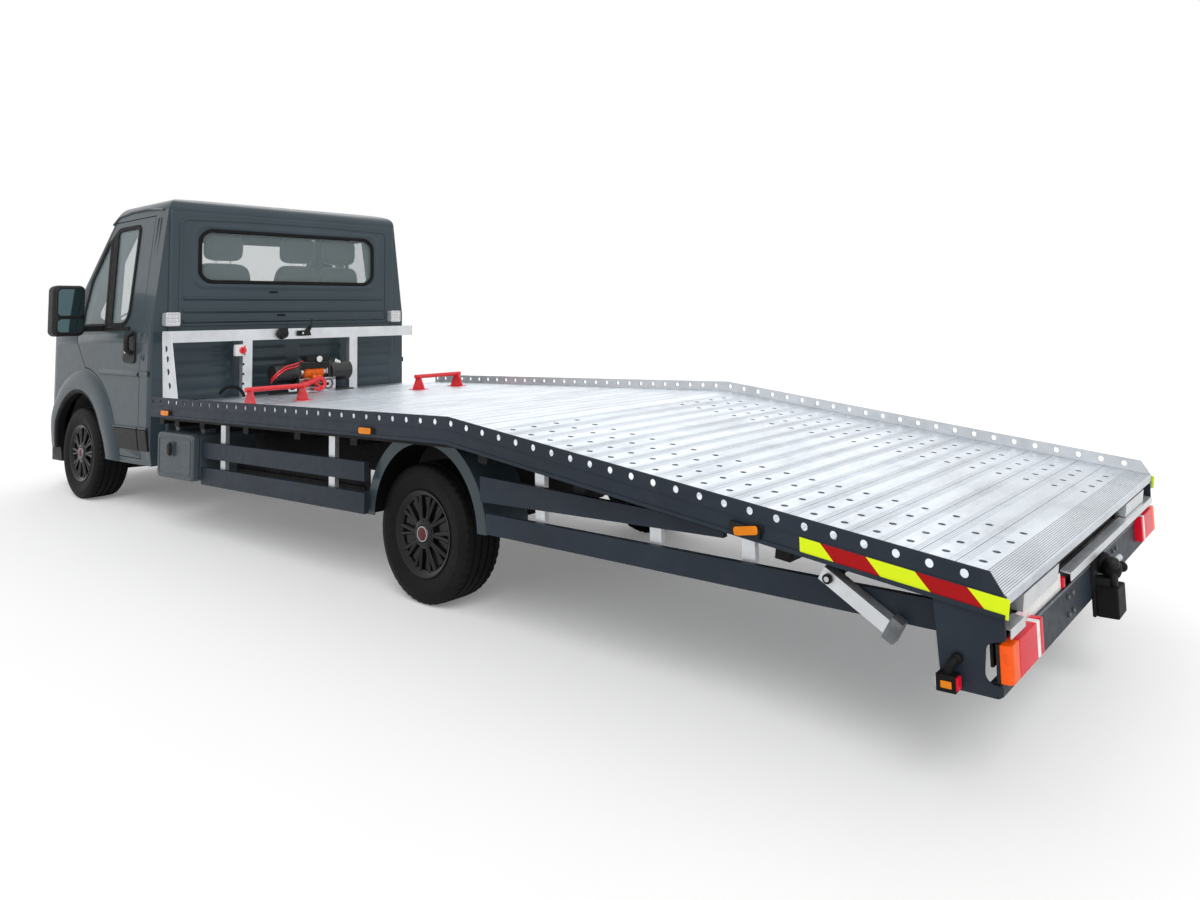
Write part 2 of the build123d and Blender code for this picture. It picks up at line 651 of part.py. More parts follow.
low = plank_thickness + strip_depth
strip_places = (500, 1035)
cross_half = 1036
frame = []
for y in strip_places:
    for piece in both(strip(rail_front_x, slope_length - 30, plank_thickness, low, y - strip_width / 2,
                            y + strip_width / 2)):
        frame.append(piece)
for piece in both(block(rail_front_x, deck_front_x, 480, 520, deck_z - low, deck_z - plank_thickness)):
    frame.append(piece)
flat_crosses = (-60, 460, 1000, 1560, 2100, 2440, 2740)
slope_crosses = (150, 750, 1350, 1720, 2440)
for x in flat_crosses:
    half = {-60: 745, 2740: front_deck_half_width}.get(x, cross_half)
    frame.append(block(x - cross_width / 2, x + cross_width / 2, -half, half, deck_z - low - cross_height,
                       deck_z - low))
for s in slope_crosses:
    frame.append(slope_bar(s - cross_width / 2, s + cross_width / 2, low, low + cross_height, -cross_half,
                           cross_half))
under = low + cross_height
for piece in both(strip(deck_front_x - 40, slope_length - 30, under, under + slope_bearer_height,
                        rail_y - rail_half, rail_y + rail_half)):
    frame.append(piece)
for piece in both(block(chassis_back_x + 20, deck_front_x - 40, rail_y - rail_half, rail_y + rail_half,
                        chassis_top_z, deck_z - under - 10)):
    frame.append(piece - slope_bar(-10, 900, -200, under + slope_bearer_height, 0, 1200))
deck_frame = fuse(frame)

ramp_top = low - joint_gap - ramp_height
ramp_back_s = slope_length - 3
ramp = slope_bar(ramp_back_s - ramp_length, ramp_back_s, ramp_top, ramp_top + ramp_height,
                 ramp_y - ramp_width / 2, ramp_y + ramp_width / 2)
rung_count = 14
rung_pitch = ramp_length / rung_count
for k in range(rung_count):
    s0 = ramp_back_s - ramp_length + k * rung_pitch + 35
    ramp -= slope_bar(s0, s0 + rung_pitch - 50, ramp_top - 10, ramp_top + ramp_height + 10,
                      ramp_y - ramp_width / 2 + 35, ramp_y + ramp_width / 2 - 35)
add("ramp_left", ramp)
add("ramp_right", mirrored(ramp))

# ------------------------------------------------------------------------------ headboard and what it carries
beam_top = beam_z + beam_height
beam = block(headboard_x, headboard_x + beam_depth, -beam_half_length, beam_half_length, beam_z, beam_top)
side_plate = across(outline([(2540, deck_z), (2755, deck_z), (2790, beam_top), (2665, beam_top)],
                            [0, 0, 15, 15]), beam_half_length, beam_half_length + 6)
plate_holes = ((2664, 1004), (2688, 1097), (2703, 1182), (2725, 1251))
for x, z in plate_holes:
    side_plate -= rod_y(x, z, beam_half_length - 5, beam_half_length + 20, 22)
post = block(headboard_x, headboard_x + beam_depth, post_y - post_width / 2, post_y + post_width / 2,
             deck_z, beam_z)
add("headboard", fuse([beam, side_plate] + both(post)))

winch_x = 2690
winch_y = -40
winch_z = deck_z + 150
winch_half = 320
plate_top = deck_z + 12
winch_base = block(winch_x - 90, winch_x + 30, winch_y - winch_half, winch_y + winch_half, deck_z, plate_top)
cheek_left = block(winch_x - 65, winch_x + 30, winch_y + 110, winch_y + winch_half, plate_top, deck_z + 265)
cheek_right = block(winch_x - 65, winch_x + 30, winch_y - winch_half, winch_y - 110, plate_top, deck_z + 265)
tie_bars = [rod_y(winch_x + dx, deck_z + 250, winch_y - 110, winch_y + 110, 8) for dx in (-50, 20)]
fairlead = block(winch_x - 102, winch_x - 90, winch_y - 150, winch_y + 150, deck_z, deck_z + 110)
fairlead -= block(winch_x - 120, winch_x - 60, winch_y - 80, winch_y + 80, deck_z + 35, deck_z + 75)
winch_body = fuse([winch_base, cheek_left, cheek_right, fairlead] + tie_bars)
drum_radius = 30
winch_body -= rod_y(winch_x, winch_z, winch_y - 130, winch_y + 130, drum_radius - 10 + 0.05)
add("winch", winch_body)
drum = spun([(0, -130), (drum_radius - 10, -130), (drum_radius - 10, -107), (62, -107), (62, -100), (50, -98),
             (50, 98), (62, 100), (62, 107), (drum_radius - 10, 107), (drum_radius - 10, 130), (0, 130)])
add("winch_drum", Pos(winch_x, winch_y, winch_z) * drum)

stop_x = 1930
stop_feet = (465, 820)
stop_height = 112
stop_reach = 72            # half of a foot's length along the deck
foot_face = outline([(stop_x - stop_reach, deck_z), (stop_x + stop_reach, deck_z),
                     (stop_x + 14, deck_z + stop_height), (stop_x - 14, deck_z + stop_height)], [0, 0, 6, 6])
stop = rod_y(stop_x, deck_z + stop_height - 14, stop_feet[0] - 30, stop_feet[1] + 30, 16)
for y in stop_feet:
    stop += across(foot_face, y - 5, y + 5)
    stop += block(stop_x - stop_reach, stop_x + stop_reach, y - 35, y + 35, deck_z, deck_z + 6)
add("wheel_stops", both(stop))

# ------------------------------------------------------------------------------ guards, boxes, mudguards
guard_y = 1060
guard_wall = 25
box_back_x = 2055
box_front_x = 2538
box_low = 438
box_high = 725
box_depth = 400
latch_x = 2325
latch_z = 626
front_guard_back_x = 329
front_guard_rows = [(582, 679), (420, 525)]
front_posts = (660, 1829)
rear_posts = (-907, -1535, -1957)
post_half = 28
post_face_y = guard_y - guard_wall
post_back_y = post_face_y - guard_wall
rear_guard_start_x = -590
rear_guard_low = (430, 386)         # underside of the lower rear guard, at its start and at its end
rear_guard_high = (520, 477)
cheek_x = -2668


def front_guard(end_x, posts):
    """Two rails ahead of the rear wheel, up to end_x, on their posts."""
    pieces = [block(front_guard_back_x, end_x, post_face_y, guard_y, z0, z1) for z0, z1 in front_guard_rows]
    for x in posts:
        pieces.append(block(x - post_half, x + post_half, post_back_y, post_face_y,
                            front_guard_rows[-1][0] + 5, deck_z - low))
    return pieces


def rear_guard():
    """Two rails behind the rear wheel: a long one, and one that runs out under the slope."""
    long_rail = outline([(rear_guard_start_x, rear_guard_low[0]), (rear_guard_start_x, rear_guard_high[0]),
                         (cheek_x, rear_guard_high[1]), (cheek_x, rear_guard_low[1])])
    taper_back = deck_point(1480, rail_height + rail_top)
    short_rail = outline([(-552, 568), (-552, 680), taper_back, (taper_back[0], taper_back[1] - 50)])
    pieces = [across(face, post_face_y, guard_y) for face in (long_rail, short_rail)]
    for x in rear_posts:
        share = (x - rear_guard_start_x) / (cheek_x - rear_guard_start_x)
        low_z = rear_guard_low[0] + share * (rear_guard_low[1] - rear_guard_low[0]) + 5
        pieces.append(block(x - post_half, x + post_half, post_back_y, post_face_y, low_z, 800))
    return pieces


above_frame = slope_bar(0, slope_length, -300, low, 0, 1200) + deck_frame
left_guard = fuse(front_guard(box_back_x - panel_gap, front_posts) + rear_guard()) - above_frame
right_posts = front_posts + (box_front_x - post_half,)
right_guard = fuse(front_guard(box_front_x, right_posts) + rear_guard()) - above_frame
add("side_guards", [left_guard, mirrored(right_guard)])

box_out_y = 1112
lid_thickness = 40
box_wall = 12
box_inner_y = box_out_y - box_depth
box = block(box_back_x, box_front_x, box_inner_y, box_out_y - lid_thickness - panel_gap, box_low, box_high)
box = fillet(box.edges().filter_by(Axis.Y), 35)
box -= block(box_back_x + box_wall, box_front_x - box_wall, box_inner_y + box_wall, box_out_y,
             box_low + box_wall, box_high - box_wall)
lid_seat = block(box_back_x + 90, box_back_x + 180, box_out_y - lid_thickness - panel_gap - 30,
                 box_out_y - lid_thickness - joint_gap, box_low, box_low + box_wall)
hanger_top = deck_z - low - cross_height
hangers = [block(x - 25, x + 25, 960, 1030, box_high, hanger_top) for x in (2100, 2440)]
lid_seat_pitch = 210
box = fuse([box, lid_seat, Pos(lid_seat_pitch, 0, 0) * lid_seat] + hangers)
add("toolbox", box)
lid = block(box_back_x, box_front_x, box_out_y - lid_thickness, box_out_y, box_low, box_high)
lid = fillet(lid.edges().filter_by(Axis.Y), 35)
lid = fillet(lid.faces().sort_by(Axis.Y)[-1].edges(), 14)
lid += block(latch_x - 40, latch_x + 40, box_out_y - 5, box_out_y + 14, latch_z - 42, latch_z + 42)
add("toolbox_lid", lid)

guard_radius = 455
guard_skin = 8
guard_lip = 62             # width of the mudguard's outer edge, which is turned down
guard_foot_z = 409
guard_inner_y = 755
guard_outer_y = 1012
guard_centre = (-82, 396)


def arch_ring(width, y0, y1):
    """The upper part of a ring round the mudguard's middle, of the given width."""
    ring = rod_y(*guard_centre, y0, y1, guard_radius)
    ring -= rod_y(*guard_centre, y0 - 1, y1 + 1, guard_radius - width)
    return ring & block(guard_centre[0] - 500, guard_centre[0] + 500, y0 - 5, y1 + 5, guard_foot_z, 1000)


mudguard = arch_ring(guard_skin, guard_inner_y, guard_outer_y)
mudguard += arch_ring(guard_lip, guard_outer_y - 4, guard_outer_y)
mudguard += block(guard_centre[0] - 35, guard_centre[0] + 35, guard_inner_y + 25, guard_outer_y - 12,
                  guard_centre[1] + guard_radius - guard_skin, deck_z - plank_thickness)
add("rear_mudguards", both(mudguard))

# ------------------------------------------------------------------------------ rear end
cheek_y = deck_half_width - rail_wall
cheek_wall = 6
cheek_depth = plank_thickness + rail_wall + 5      # of the cheek's top edge, which laps the rail's inner face
cheek_front = (cheek_x, deck_z - (kink_x - cheek_x) * math.tan(slope) - cheek_depth / math.cos(slope))
cheek_back = deck_point(slope_length - 5, cheek_depth)
cheek = across(outline([cheek_front, cheek_back, (-2880, 415), (-2822, 400), (-2812, 290), (-2870, 285),
                        (-2862, 251), (-2683, 254)], [0, 0, 10, 30, 30, 8, 20, 10]),
               cheek_y - cheek_wall, cheek_y)
under_x = -2862
under_wall = 8
under_low_z = 256
under_high_z = 386
beam_end_y = cheek_y - cheek_wall
lamp_y = (800, beam_end_y - joint_gap)
lamp_low_z = 290
lamp_high_z = 402
plate_y = (434, 954)
plate_z = (330, 440)
plate_thickness_x = 4
underrun = block(under_x, under_x + under_wall, -beam_end_y, beam_end_y, under_low_z, under_high_z)
for room in both(block(under_x - 1, under_x + 20, lamp_y[0] - panel_gap, beam_end_y, lamp_low_z, 500)):
    underrun -= room
underrun += block(under_x, under_x + 60, -beam_end_y, beam_end_y, under_low_z, under_low_z + under_wall)
rear_parts = [underrun] + both(cheek)
hanger = block(under_x + under_wall, under_x + 100, rail_y - 30, rail_y + 30, under_low_z + under_wall, 420)
hanger -= slope_bar(2000, 2700, 0, under + slope_bearer_height, -1200, 1200)
plate_room = block(under_x, under_x + under_wall + plate_thickness_x, plate_y[0] - 1, plate_y[1] + 1,
                   plate_z[0] - 1, plate_z[1] + 1)
rear_parts += [hanger - plate_room, mirrored(hanger)]
add("rear_bumper", fuse(rear_parts))

lamp = block(under_x - 31, under_x + 17, *lamp_y, lamp_low_z, lamp_high_z)
lamp = fillet(lamp.edges().filter_by(Axis.Z), 12)
left_lamp, right_lamp = both(lamp)
left_lamp -= block(under_x + under_wall - 2, under_x + 60, lamp_y[0] - 5, plate_y[1] + 2, lamp_low_z - 5,
                   lamp_high_z + 5)
add("tail_lamps", [left_lamp, right_lamp])
add("number_plate", block(under_x + under_wall, under_x + under_wall + plate_thickness_x, *plate_y, *plate_z))
hitch = block(under_x - 12, under_x, -60, 60, 270, 400)
hitch += block(under_x - 60, under_x - 12, -25, 25, 300, 330)
hitch += rod_z(under_x - 70, 0, 300, 370, 16)
hitch += Pos(under_x - 70, 0, 385) * Sphere(25)
add("tow_hitch", hitch)

# ------------------------------------------------------------------------------ support legs
leg_pivot = deck_point(leg_pivot_s, 115)
leg_turn = math.radians(leg_angle)


def leg_box(along0, along1, y0, y1, half):
    """A bar along the stowed leg, between two distances from its pivot."""
    ux, uz = -math.cos(leg_turn), -math.sin(leg_turn)
    nx, nz = math.sin(leg_turn), -math.cos(leg_turn)
    corners = [(leg_pivot[0] + ux * a + nx * b, leg_pivot[1] + uz * a + nz * b)
               for a, b in ((along0, -half), (along1, -half), (along1, half), (along0, half))]
    return across(outline(corners), y0, y1)


tube_half = leg_tube / 2
tube_wall = 5
leg = leg_box(-30, leg_length - 40, leg_y - tube_half, leg_y + tube_half, tube_half)
bore_half = tube_half - tube_wall
leg -= leg_box(30, leg_length, leg_y - bore_half, leg_y + bore_half, bore_half)
leg -= rod_y(leg_pivot[0], leg_pivot[1], leg_y - 60, leg_y + 60, 10.05)
add("support_leg_left", leg)
add("support_leg_right", mirrored(leg))
foot_half = bore_half - joint_gap
foot = leg_box(40, leg_length, leg_y - foot_half, leg_y + foot_half, foot_half)
foot += leg_box(leg_length - 40 + joint_gap, leg_length, leg_y - tube_half, leg_y + tube_half, 38)
add("support_foot_left", foot)
add("support_foot_right", mirrored(foot))
ear_y = leg_y - tube_half - joint_gap
ear_wall = 5
pin = rod_y(leg_pivot[0], leg_pivot[1], ear_y - ear_wall, leg_y + tube_half + joint_gap, 10)
pin += rod_y(leg_pivot[0], leg_pivot[1], leg_y + tube_half + joint_gap, rail_inner_y, 16)
ear_x = (leg_pivot[0] - 35, leg_pivot[0] + 35)
ear = block(*ear_x, ear_y - ear_wall, ear_y, leg_pivot[1] - 35, leg_pivot[1] + 140)
ear += block(*ear_x, strip_places[1], ear_y, leg_pivot[1] + 10, leg_pivot[1] + 140)
bracket = pin + (ear - slope_bar(1500, 2300, -300, low, 0, 1200))
for piece in both(bracket):
    deck_frame += piece
add("deck_frame", deck_frame)

# ------------------------------------------------------------------------------ mirrors and lamps
mirror_x = 3700
mirror_arm = block(mirror_x - 20, mirror_x + 20, 985, 1175, 1385, 1425)
mirror_head = block(mirror_x - 70, mirror_x + 70, 1152, 1357, 1354, 1719)
mirror_head = fillet(mirror_head.edges(), 40)
mirror_left = (mirror_head + mirror_arm) - outer - door_left - door_glass
add("mirror_left", mirror_left)
add("mirror_right", mirrored(mirror_left))

marker_rows = [(2361, 852), (197, 852)]
amber = [across(outline([(x - 45, z - 14), (x + 45, z - 14), (x + 45, z + 14), (x - 45, z + 14)], 8),
                deck_half_width, deck_half_width + 16) for x, z in marker_rows]
s0 = (kink_x + 1958) / math.cos(slope)
rail_foot = rail_height + rail_top
amber.append(slope_bar(s0, s0 + 125, rail_foot - 50, rail_foot - 16, deck_half_width, deck_half_width + 16))
markers = [piece for lamp_piece in amber for piece in both(lamp_piece - nodes["side_rails"])]
add("marker_lamps", markers)
work = block(cab_back_x - 60, cab_back_x, 855, 950, 1405, 1500)
work = fillet(work.edges().filter_by(Axis.X), 10)
add("work_lamps", both(work))

# ------------------------------------------------------------------------------ placing and writing
level = Compound(children=[node.moved(Location()) for node in nodes.values()])
tilt = Pos(0, 0, tyre_radius) * Rot(0, math.degrees(rake), 0) * Pos(0, 0, -tyre_radius)
whole = (tilt * level).bounding_box()
place = Pos(-(whole.min.X + whole.max.X) / 2, -(whole.min.Y + whole.max.Y) / 2, -whole.min.Z) * tilt


def placed(x, y, z):
    """A point of the level body frame in the finished model's frame."""
    return (place * Pos(x, y, z)).position


if __name__ == "__main__":
    os.makedirs("parts", exist_ok=True)
    for name, node in nodes.items():
        export_step(place * node, f"parts/{name}.step")
        corners = node.bounding_box()
        print(name, len(node.solids()), [round(v) for v in (*corners.min, *corners.max)])
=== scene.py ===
import bpy
import bmesh
import math
from mathutils import Matrix, Vector
from mathutils.bvhtree import BVHTree


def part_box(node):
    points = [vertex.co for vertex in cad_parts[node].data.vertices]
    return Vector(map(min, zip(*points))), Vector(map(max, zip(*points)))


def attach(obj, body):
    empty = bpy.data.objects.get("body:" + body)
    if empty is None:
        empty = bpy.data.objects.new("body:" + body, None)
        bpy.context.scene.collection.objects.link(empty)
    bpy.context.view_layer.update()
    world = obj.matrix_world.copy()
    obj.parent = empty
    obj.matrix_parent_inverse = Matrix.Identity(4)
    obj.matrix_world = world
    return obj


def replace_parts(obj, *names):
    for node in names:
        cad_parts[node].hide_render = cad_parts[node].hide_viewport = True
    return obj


# Looks of a car transporter. Everything is built in the level body frame of the vehicle, in
# metres: x = 0 at the rear axle, +X forward, +Y left, z = 0 at the ground under the rear tyres.
# PLACE then turns it by the body's rake and moves it into the shared frame.

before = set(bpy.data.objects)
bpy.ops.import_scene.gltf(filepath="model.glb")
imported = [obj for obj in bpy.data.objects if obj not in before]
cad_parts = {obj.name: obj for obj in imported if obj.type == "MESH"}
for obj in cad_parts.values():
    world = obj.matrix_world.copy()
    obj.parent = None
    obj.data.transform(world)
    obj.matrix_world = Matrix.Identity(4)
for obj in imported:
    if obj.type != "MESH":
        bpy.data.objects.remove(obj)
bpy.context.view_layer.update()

# ---------------------------------------------------------------- driving dimensions
tyre_radius = 0.341
wheelbase = 4.035
nose_drop = 0.134
rake = math.asin(nose_drop / wheelbase)
front_axle_x = wheelbase * math.cos(rake)
front_axle_z = tyre_radius + nose_drop
rear_y = 0.8495
front_y = 0.915
cab_back_x = 2.89
cab_half_width = 1.025
deck_z = 0.886
deck_slope = math.radians(7.91)
kink_x = -0.411
slope_length = 2.505
rail_front_x = 2.59
rail_outer_y = 1.132
plank_half_width = 1.122
plank_pitch = 0.122
first_joint = 0.093
fine_ribs_start = 2.37     # along the slope from the kink
board_x = 2.725
beam_low_z = 1.29
beam_high_z = 1.37
winch_spot = (2.69, -0.04, deck_z)
drum_height = 0.15         # of the drum's axis over the deck


def middle(node):
    """The middle of a CAD node's box."""
    low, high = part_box(node)
    return (low + high) / 2


axle_middle = middle("tyre_rear_left")
PLACE = (Matrix.Translation((axle_middle.x, 0, axle_middle.z)) @ Matrix.Rotation(rake, 4, "Y")
         @ Matrix.Translation((0, 0, -tyre_radius)))


def deck_point(s, depth):
    """A point at depth under the sloping deck, s along it behind the kink, as (x, z)."""
    return (kink_x - s * math.cos(deck_slope) + depth * math.sin(deck_slope),
            deck_z - s * math.sin(deck_slope) - depth * math.cos(deck_slope))


# ---------------------------------------------------------------- materials
EVEN = (1, 1, 1)


class Graph:
    """The nodes of a material or of the world, with short ways to add and join them."""

    def __init__(self, owner):
        owner.use_nodes = True
        self.nodes, self.links = owner.node_tree.nodes, owner.node_tree.links
        self.shader = self.nodes.get("Principled BSDF")

    def put(self, node, values):
        """Sets inputs of a node, each to a value or to another node's output."""
        for key, value in values.items():
            if isinstance(value, bpy.types.NodeSocket):
                self.links.new(value, node.inputs[key])
            else:
                node.inputs[key].default_value = value

    def add(self, kind, values=None, **settings):
        """A new node of a kind, with its settings and inputs."""
        node = self.nodes.new("ShaderNode" + kind)
        for key, value in settings.items():
            setattr(node, key, value)
        self.put(node, values or {})
        return node

    def number(self, operation, *values):
        """The result of a Math node."""
        return self.add("Math", dict(enumerate(values)), operation=operation).outputs[0]

    def part(self, vector, axis):
        """One part of a vector."""
        return self.add("SeparateXYZ", {0: vector}).outputs[axis]

    def noise(self, scale, stretch=EVEN, detail=4.0, rough=0.55):
        """Noise in the object's own coordinates, stretched along the axes."""
        place = self.add("Mapping", {"Vector": self.add("TexCoord").outputs["Object"], "Scale": stretch})
        return self.add("TexNoise", {"Vector": place.outputs["Vector"], "Scale": scale, "Detail": detail,
                                     "Roughness": rough}).outputs["Fac"]

    def wave(self, direction, scale, distortion=0.0):
        """Even waves along one of the object's axes."""
        return self.add("TexWave", {"Vector": self.add("TexCoord").outputs["Object"], "Scale": scale,
                                    "Distortion": distortion}, bands_direction=direction).outputs["Fac"]

    def blend(self, source, low, high, start=0.3, end=0.7):
        """Two colours, blended by source between start and end."""
        made = self.add("ValToRGB", {"Fac": source})
        for k, (place, colour) in enumerate(((start, low), (end, high))):
            made.color_ramp.elements[k].position = place
            made.color_ramp.elements[k].color = (*colour, 1)
        return made.outputs["Color"]

    def bump(self, source, strength, distance):
        """Adds a bump to the shader, over any bump that it has."""
        normal = self.shader.inputs["Normal"]
        values = {"Height": source, "Strength": strength, "Distance": distance}
        if normal.is_linked:
            values["Normal"] = normal.links[0].from_socket
        self.links.new(self.add("Bump", values).outputs["Normal"], normal)


def grey(value):
    return (value, value, value)


def finish(graph, colour, rough=0.4, metal=0.0, coat=0.0, vary=0.12, scale=2.5, stretch=EVEN, spread=0.15,
           grain=0.0, grain_scale=400, grain_stretch=EVEN, grain_depth=0.0004, sheen=0.0, dirt=None,
           shine=0.5):
    """The general finish: colour and roughness that vary softly, dirt, and a fine grain."""
    low, high = (tuple(min(1, c * (1 + lift)) for c in colour) for lift in (-vary, vary))
    paint = graph.blend(graph.noise(scale, stretch), low, high)
    if dirt:
        shade, amount, dirt_scale = dirt
        spots = graph.blend(graph.noise(dirt_scale, EVEN, 8, 0.65), grey(0), grey(amount), 0.5, 0.75)
        paint = graph.add("Mix", {"Factor": spots, 6: paint, 7: (*shade, 1)}, data_type="RGBA").outputs[2]
    smooth, dull = grey(max(0.02, rough - spread)), grey(min(1, rough + spread))
    uneven = graph.blend(graph.noise(scale * 9, stretch, 6), smooth, dull, 0.25, 0.75)
    graph.put(graph.shader, {"Base Color": paint, "Roughness": uneven, "Metallic": metal, "Coat Weight": coat,
                             "Coat Roughness": 0.06, "Specular IOR Level": shine, "Sheen Weight": sheen})
    if grain:
        graph.bump(graph.noise(grain_scale, grain_stretch, 3), grain, grain_depth)


M = {}
LOOKS = {}


def new_graph(key, name):
    """The nodes of a new material, kept under a key."""
    M[key] = bpy.data.materials.new(name)
    return Graph(M[key])


def surface(key, name, colour, rough=0.4, **look):
    """A material with the general finish."""
    LOOKS[key] = dict(look, colour=colour, rough=rough)
    graph = new_graph(key, name)
    finish(graph, **LOOKS[key])
    return graph


def two_sided(key, name, outside, inside, test):
    """Two finishes in one material: the inside one where the test's nodes give 1."""
    graph = new_graph(key, name)
    graph.nodes.remove(graph.shader)
    mix = graph.add("MixShader", {"Fac": test(graph)})
    for k, look in enumerate((outside, inside)):
        graph.shader = graph.add("BsdfPrincipled")
        finish(graph, **LOOKS[look])
        graph.put(mix, {k + 1: graph.shader.outputs["BSDF"]})
    graph.put(graph.nodes["Material Output"], {"Surface": mix.outputs["Shader"]})


def facing_middle(graph):
    """1 where the surface faces the vehicle's middle plane, else 0."""
    geometry = graph.add("NewGeometry").outputs
    sides = [graph.part(geometry[what], "Y") for what in ("Position", "True Normal")]
    return graph.number("LESS_THAN", graph.number("MULTIPLY", *sides), -0.5)


def nearer_than(limit):
    """A test for places less than limit from the vehicle's middle plane."""
    return lambda graph: graph.number("LESS_THAN", graph.number(
        "ABSOLUTE", graph.part(graph.add("NewGeometry").outputs["Position"], "Y")), limit)


def turned_to(x, z, below=-1.0):
    """A test for faces that look towards a line across the vehicle at (x, z), or lie below a height."""
    centre = PLACE @ Vector((x, 0, z))

    def test(graph):
        geometry = graph.add("NewGeometry").outputs
        away = graph.add("VectorMath", {0: geometry["Position"], 1: centre}, operation="SUBTRACT")
        flat = graph.add("VectorMath", {0: away.outputs["Vector"], 1: (1, 0, 1)}, operation="MULTIPLY")
        along = graph.add("VectorMath", {0: flat.outputs["Vector"], 1: geometry["True Normal"]},
                          operation="DOT_PRODUCT")
        inward = graph.number("LESS_THAN", along.outputs["Value"], -0.05)
        low = graph.number("LESS_THAN", graph.part(geometry["Position"], "Z"), below)
        return graph.number("MAXIMUM", inward, low)
    return test


def glass(key, name, tint, alpha):
    """Thin tinted glass: mostly see-through, with clear reflections."""
    graph = new_graph(key, name)
    graph.put(graph.shader, {"Base Color": (*tint, 1), "Roughness": 0.02, "Alpha": alpha,
                             "Specular IOR Level": 0.9, "Coat Weight": 0.4})
    graph.bump(graph.noise(1.5), 0.05, 0.002)


def lens(key, colour, glow, flutes):
    """A coloured plastic lens, with moulded flutes and a little light of its own inside."""
    graph = new_graph(key, key)
    tone = graph.blend(graph.noise(30), tuple(c * 0.75 for c in colour), colour)
    graph.put(graph.shader, {"Base Color": tone, "Roughness": 0.3, "Specular IOR Level": 0.2,
                             "Coat Weight": 0.08, "Emission Color": (*colour, 1), "Emission Strength": glow})
    graph.bump(graph.wave("Z", flutes), 0.5, 0.002)


def fabric(key, name, colour, threads=260):
    """A woven cloth: two crossed wave patterns under a soft sheen."""
    graph = surface(key, name, colour, 0.9, vary=0.25, scale=9, spread=0.06, sheen=0.4, grain=0.4,
                    grain_scale=500)
    for direction in ("Y", "Z"):
        graph.bump(graph.wave(direction, threads, 0.6), 0.35, 0.0008)


slate = (0.038, 0.057, 0.069)
mill = (0.63, 0.675, 0.725)
surface("paint", "body_paint_gloss", slate, 0.34, coat=0.2, vary=0.1, scale=1.4, spread=0.05, grain=0.12,
        grain_scale=260, grain_depth=0.0003, shine=0.25)
surface("bumper", "bumper_paint_gloss", slate, 0.36, coat=0.15, vary=0.1, spread=0.05, shine=0.25)
surface("anthracite", "powder_coat_anthracite", (0.019, 0.027, 0.04), 0.46, vary=0.15, scale=3, spread=0.08,
        grain=0.3, grain_scale=900, dirt=((0.05, 0.055, 0.065), 0.25, 7), shine=0.2)
surface("deck", "deck_aluminium_mill", mill, 0.36, metal=1.0, vary=0.14, scale=3.0, stretch=(2.2, 0.5, 2.2),
        spread=0.14, grain=0.35, grain_scale=60, grain_stretch=(18, 0.6, 18), grain_depth=0.0006,
        dirt=((0.4, 0.44, 0.49), 0.5, 5))
surface("bare", "bare_aluminium", (0.7, 0.72, 0.74), 0.42, metal=0.9, vary=0.08, scale=5, spread=0.12,
        grain=0.25, grain_scale=120, grain_stretch=(1, 1, 12), dirt=((0.45, 0.46, 0.48), 0.35, 9))
surface("foot_steel", "support_foot_dark_steel", (0.17, 0.18, 0.19), 0.5, metal=0.7, vary=0.3, scale=20,
        spread=0.12, grain=0.3, grain_scale=200, shine=0.3)
surface("galvanised", "galvanised_steel", (0.55, 0.57, 0.58), 0.48, metal=0.85, vary=0.18, scale=22,
        spread=0.12, grain=0.3, grain_scale=200)
surface("black", "black_plastic_grained", (0.01, 0.0105, 0.011), 0.52, vary=0.2, scale=8, spread=0.1,
        grain=0.5, grain_scale=900, shine=0.25)
surface("seal", "black_rubber_seal", (0.006, 0.006, 0.007), 0.6, vary=0.15, spread=0.1, shine=0.15)
surface("chassis", "chassis_black_enamel", (0.009, 0.009, 0.01), 0.55, vary=0.2, scale=6, grain=0.4,
        grain_scale=180, dirt=((0.045, 0.038, 0.032), 0.35, 6), shine=0.15)
surface("iron", "cast_iron_rough", grey(0.12), 0.65, metal=0.5, vary=0.25, scale=12, grain=0.8,
        grain_scale=150, grain_depth=0.001)
surface("pipe", "exhaust_steel_dull", (0.34, 0.31, 0.28), 0.5, metal=0.9, vary=0.3, scale=6,
        dirt=((0.16, 0.08, 0.04), 0.6, 9))
surface("tyre", "tyre_rubber_matt", (0.0045, 0.0045, 0.005), 0.62, vary=0.25, scale=12, spread=0.12,
        grain=0.6, grain_scale=500, dirt=((0.018, 0.016, 0.013), 0.4, 5), shine=0.15)
surface("rim", "wheel_trim_black", (0.0025, 0.0025, 0.003), 0.22, coat=0.1, vary=0.2, scale=10, spread=0.08,
        grain=0.2, grain_scale=600, shine=0.25)
surface("cap", "wheel_cap_dull_red", (0.1, 0.012, 0.014), vary=0.2, scale=30, shine=0.3)
surface("toolbox", "toolbox_plastic", (0.05, 0.066, 0.078), 0.48, coat=0.05, vary=0.1, scale=6, grain=0.3,
        grain_scale=700)
surface("red", "red_enamel", (0.72, 0.012, 0.022), 0.3, coat=0.5, vary=0.1, scale=6, spread=0.06)
surface("orange", "orange_rope", (0.95, 0.16, 0.01), 0.7, vary=0.25, scale=60, grain=0.8, grain_scale=350,
        grain_stretch=(1, 3, 1), grain_depth=0.001)
surface("winch", "winch_black_cast", (0.014, 0.014, 0.015), coat=0.2, vary=0.2, scale=10, grain=0.5,
        grain_scale=300)
surface("steel", "bright_steel", (0.66, 0.67, 0.68), 0.25, metal=1.0, vary=0.1, scale=20)
surface("white", "white_plastic", grey(0.8), coat=0.2, vary=0.04)
surface("plate", "number_plate_blank", (0.86, 0.86, 0.84), 0.3, coat=0.3, vary=0.03)
surface("yellow", "reflective_yellow", (0.76, 0.94, 0.005), coat=0.05, vary=0.05, grain=0.3, grain_scale=900,
        shine=0.2)
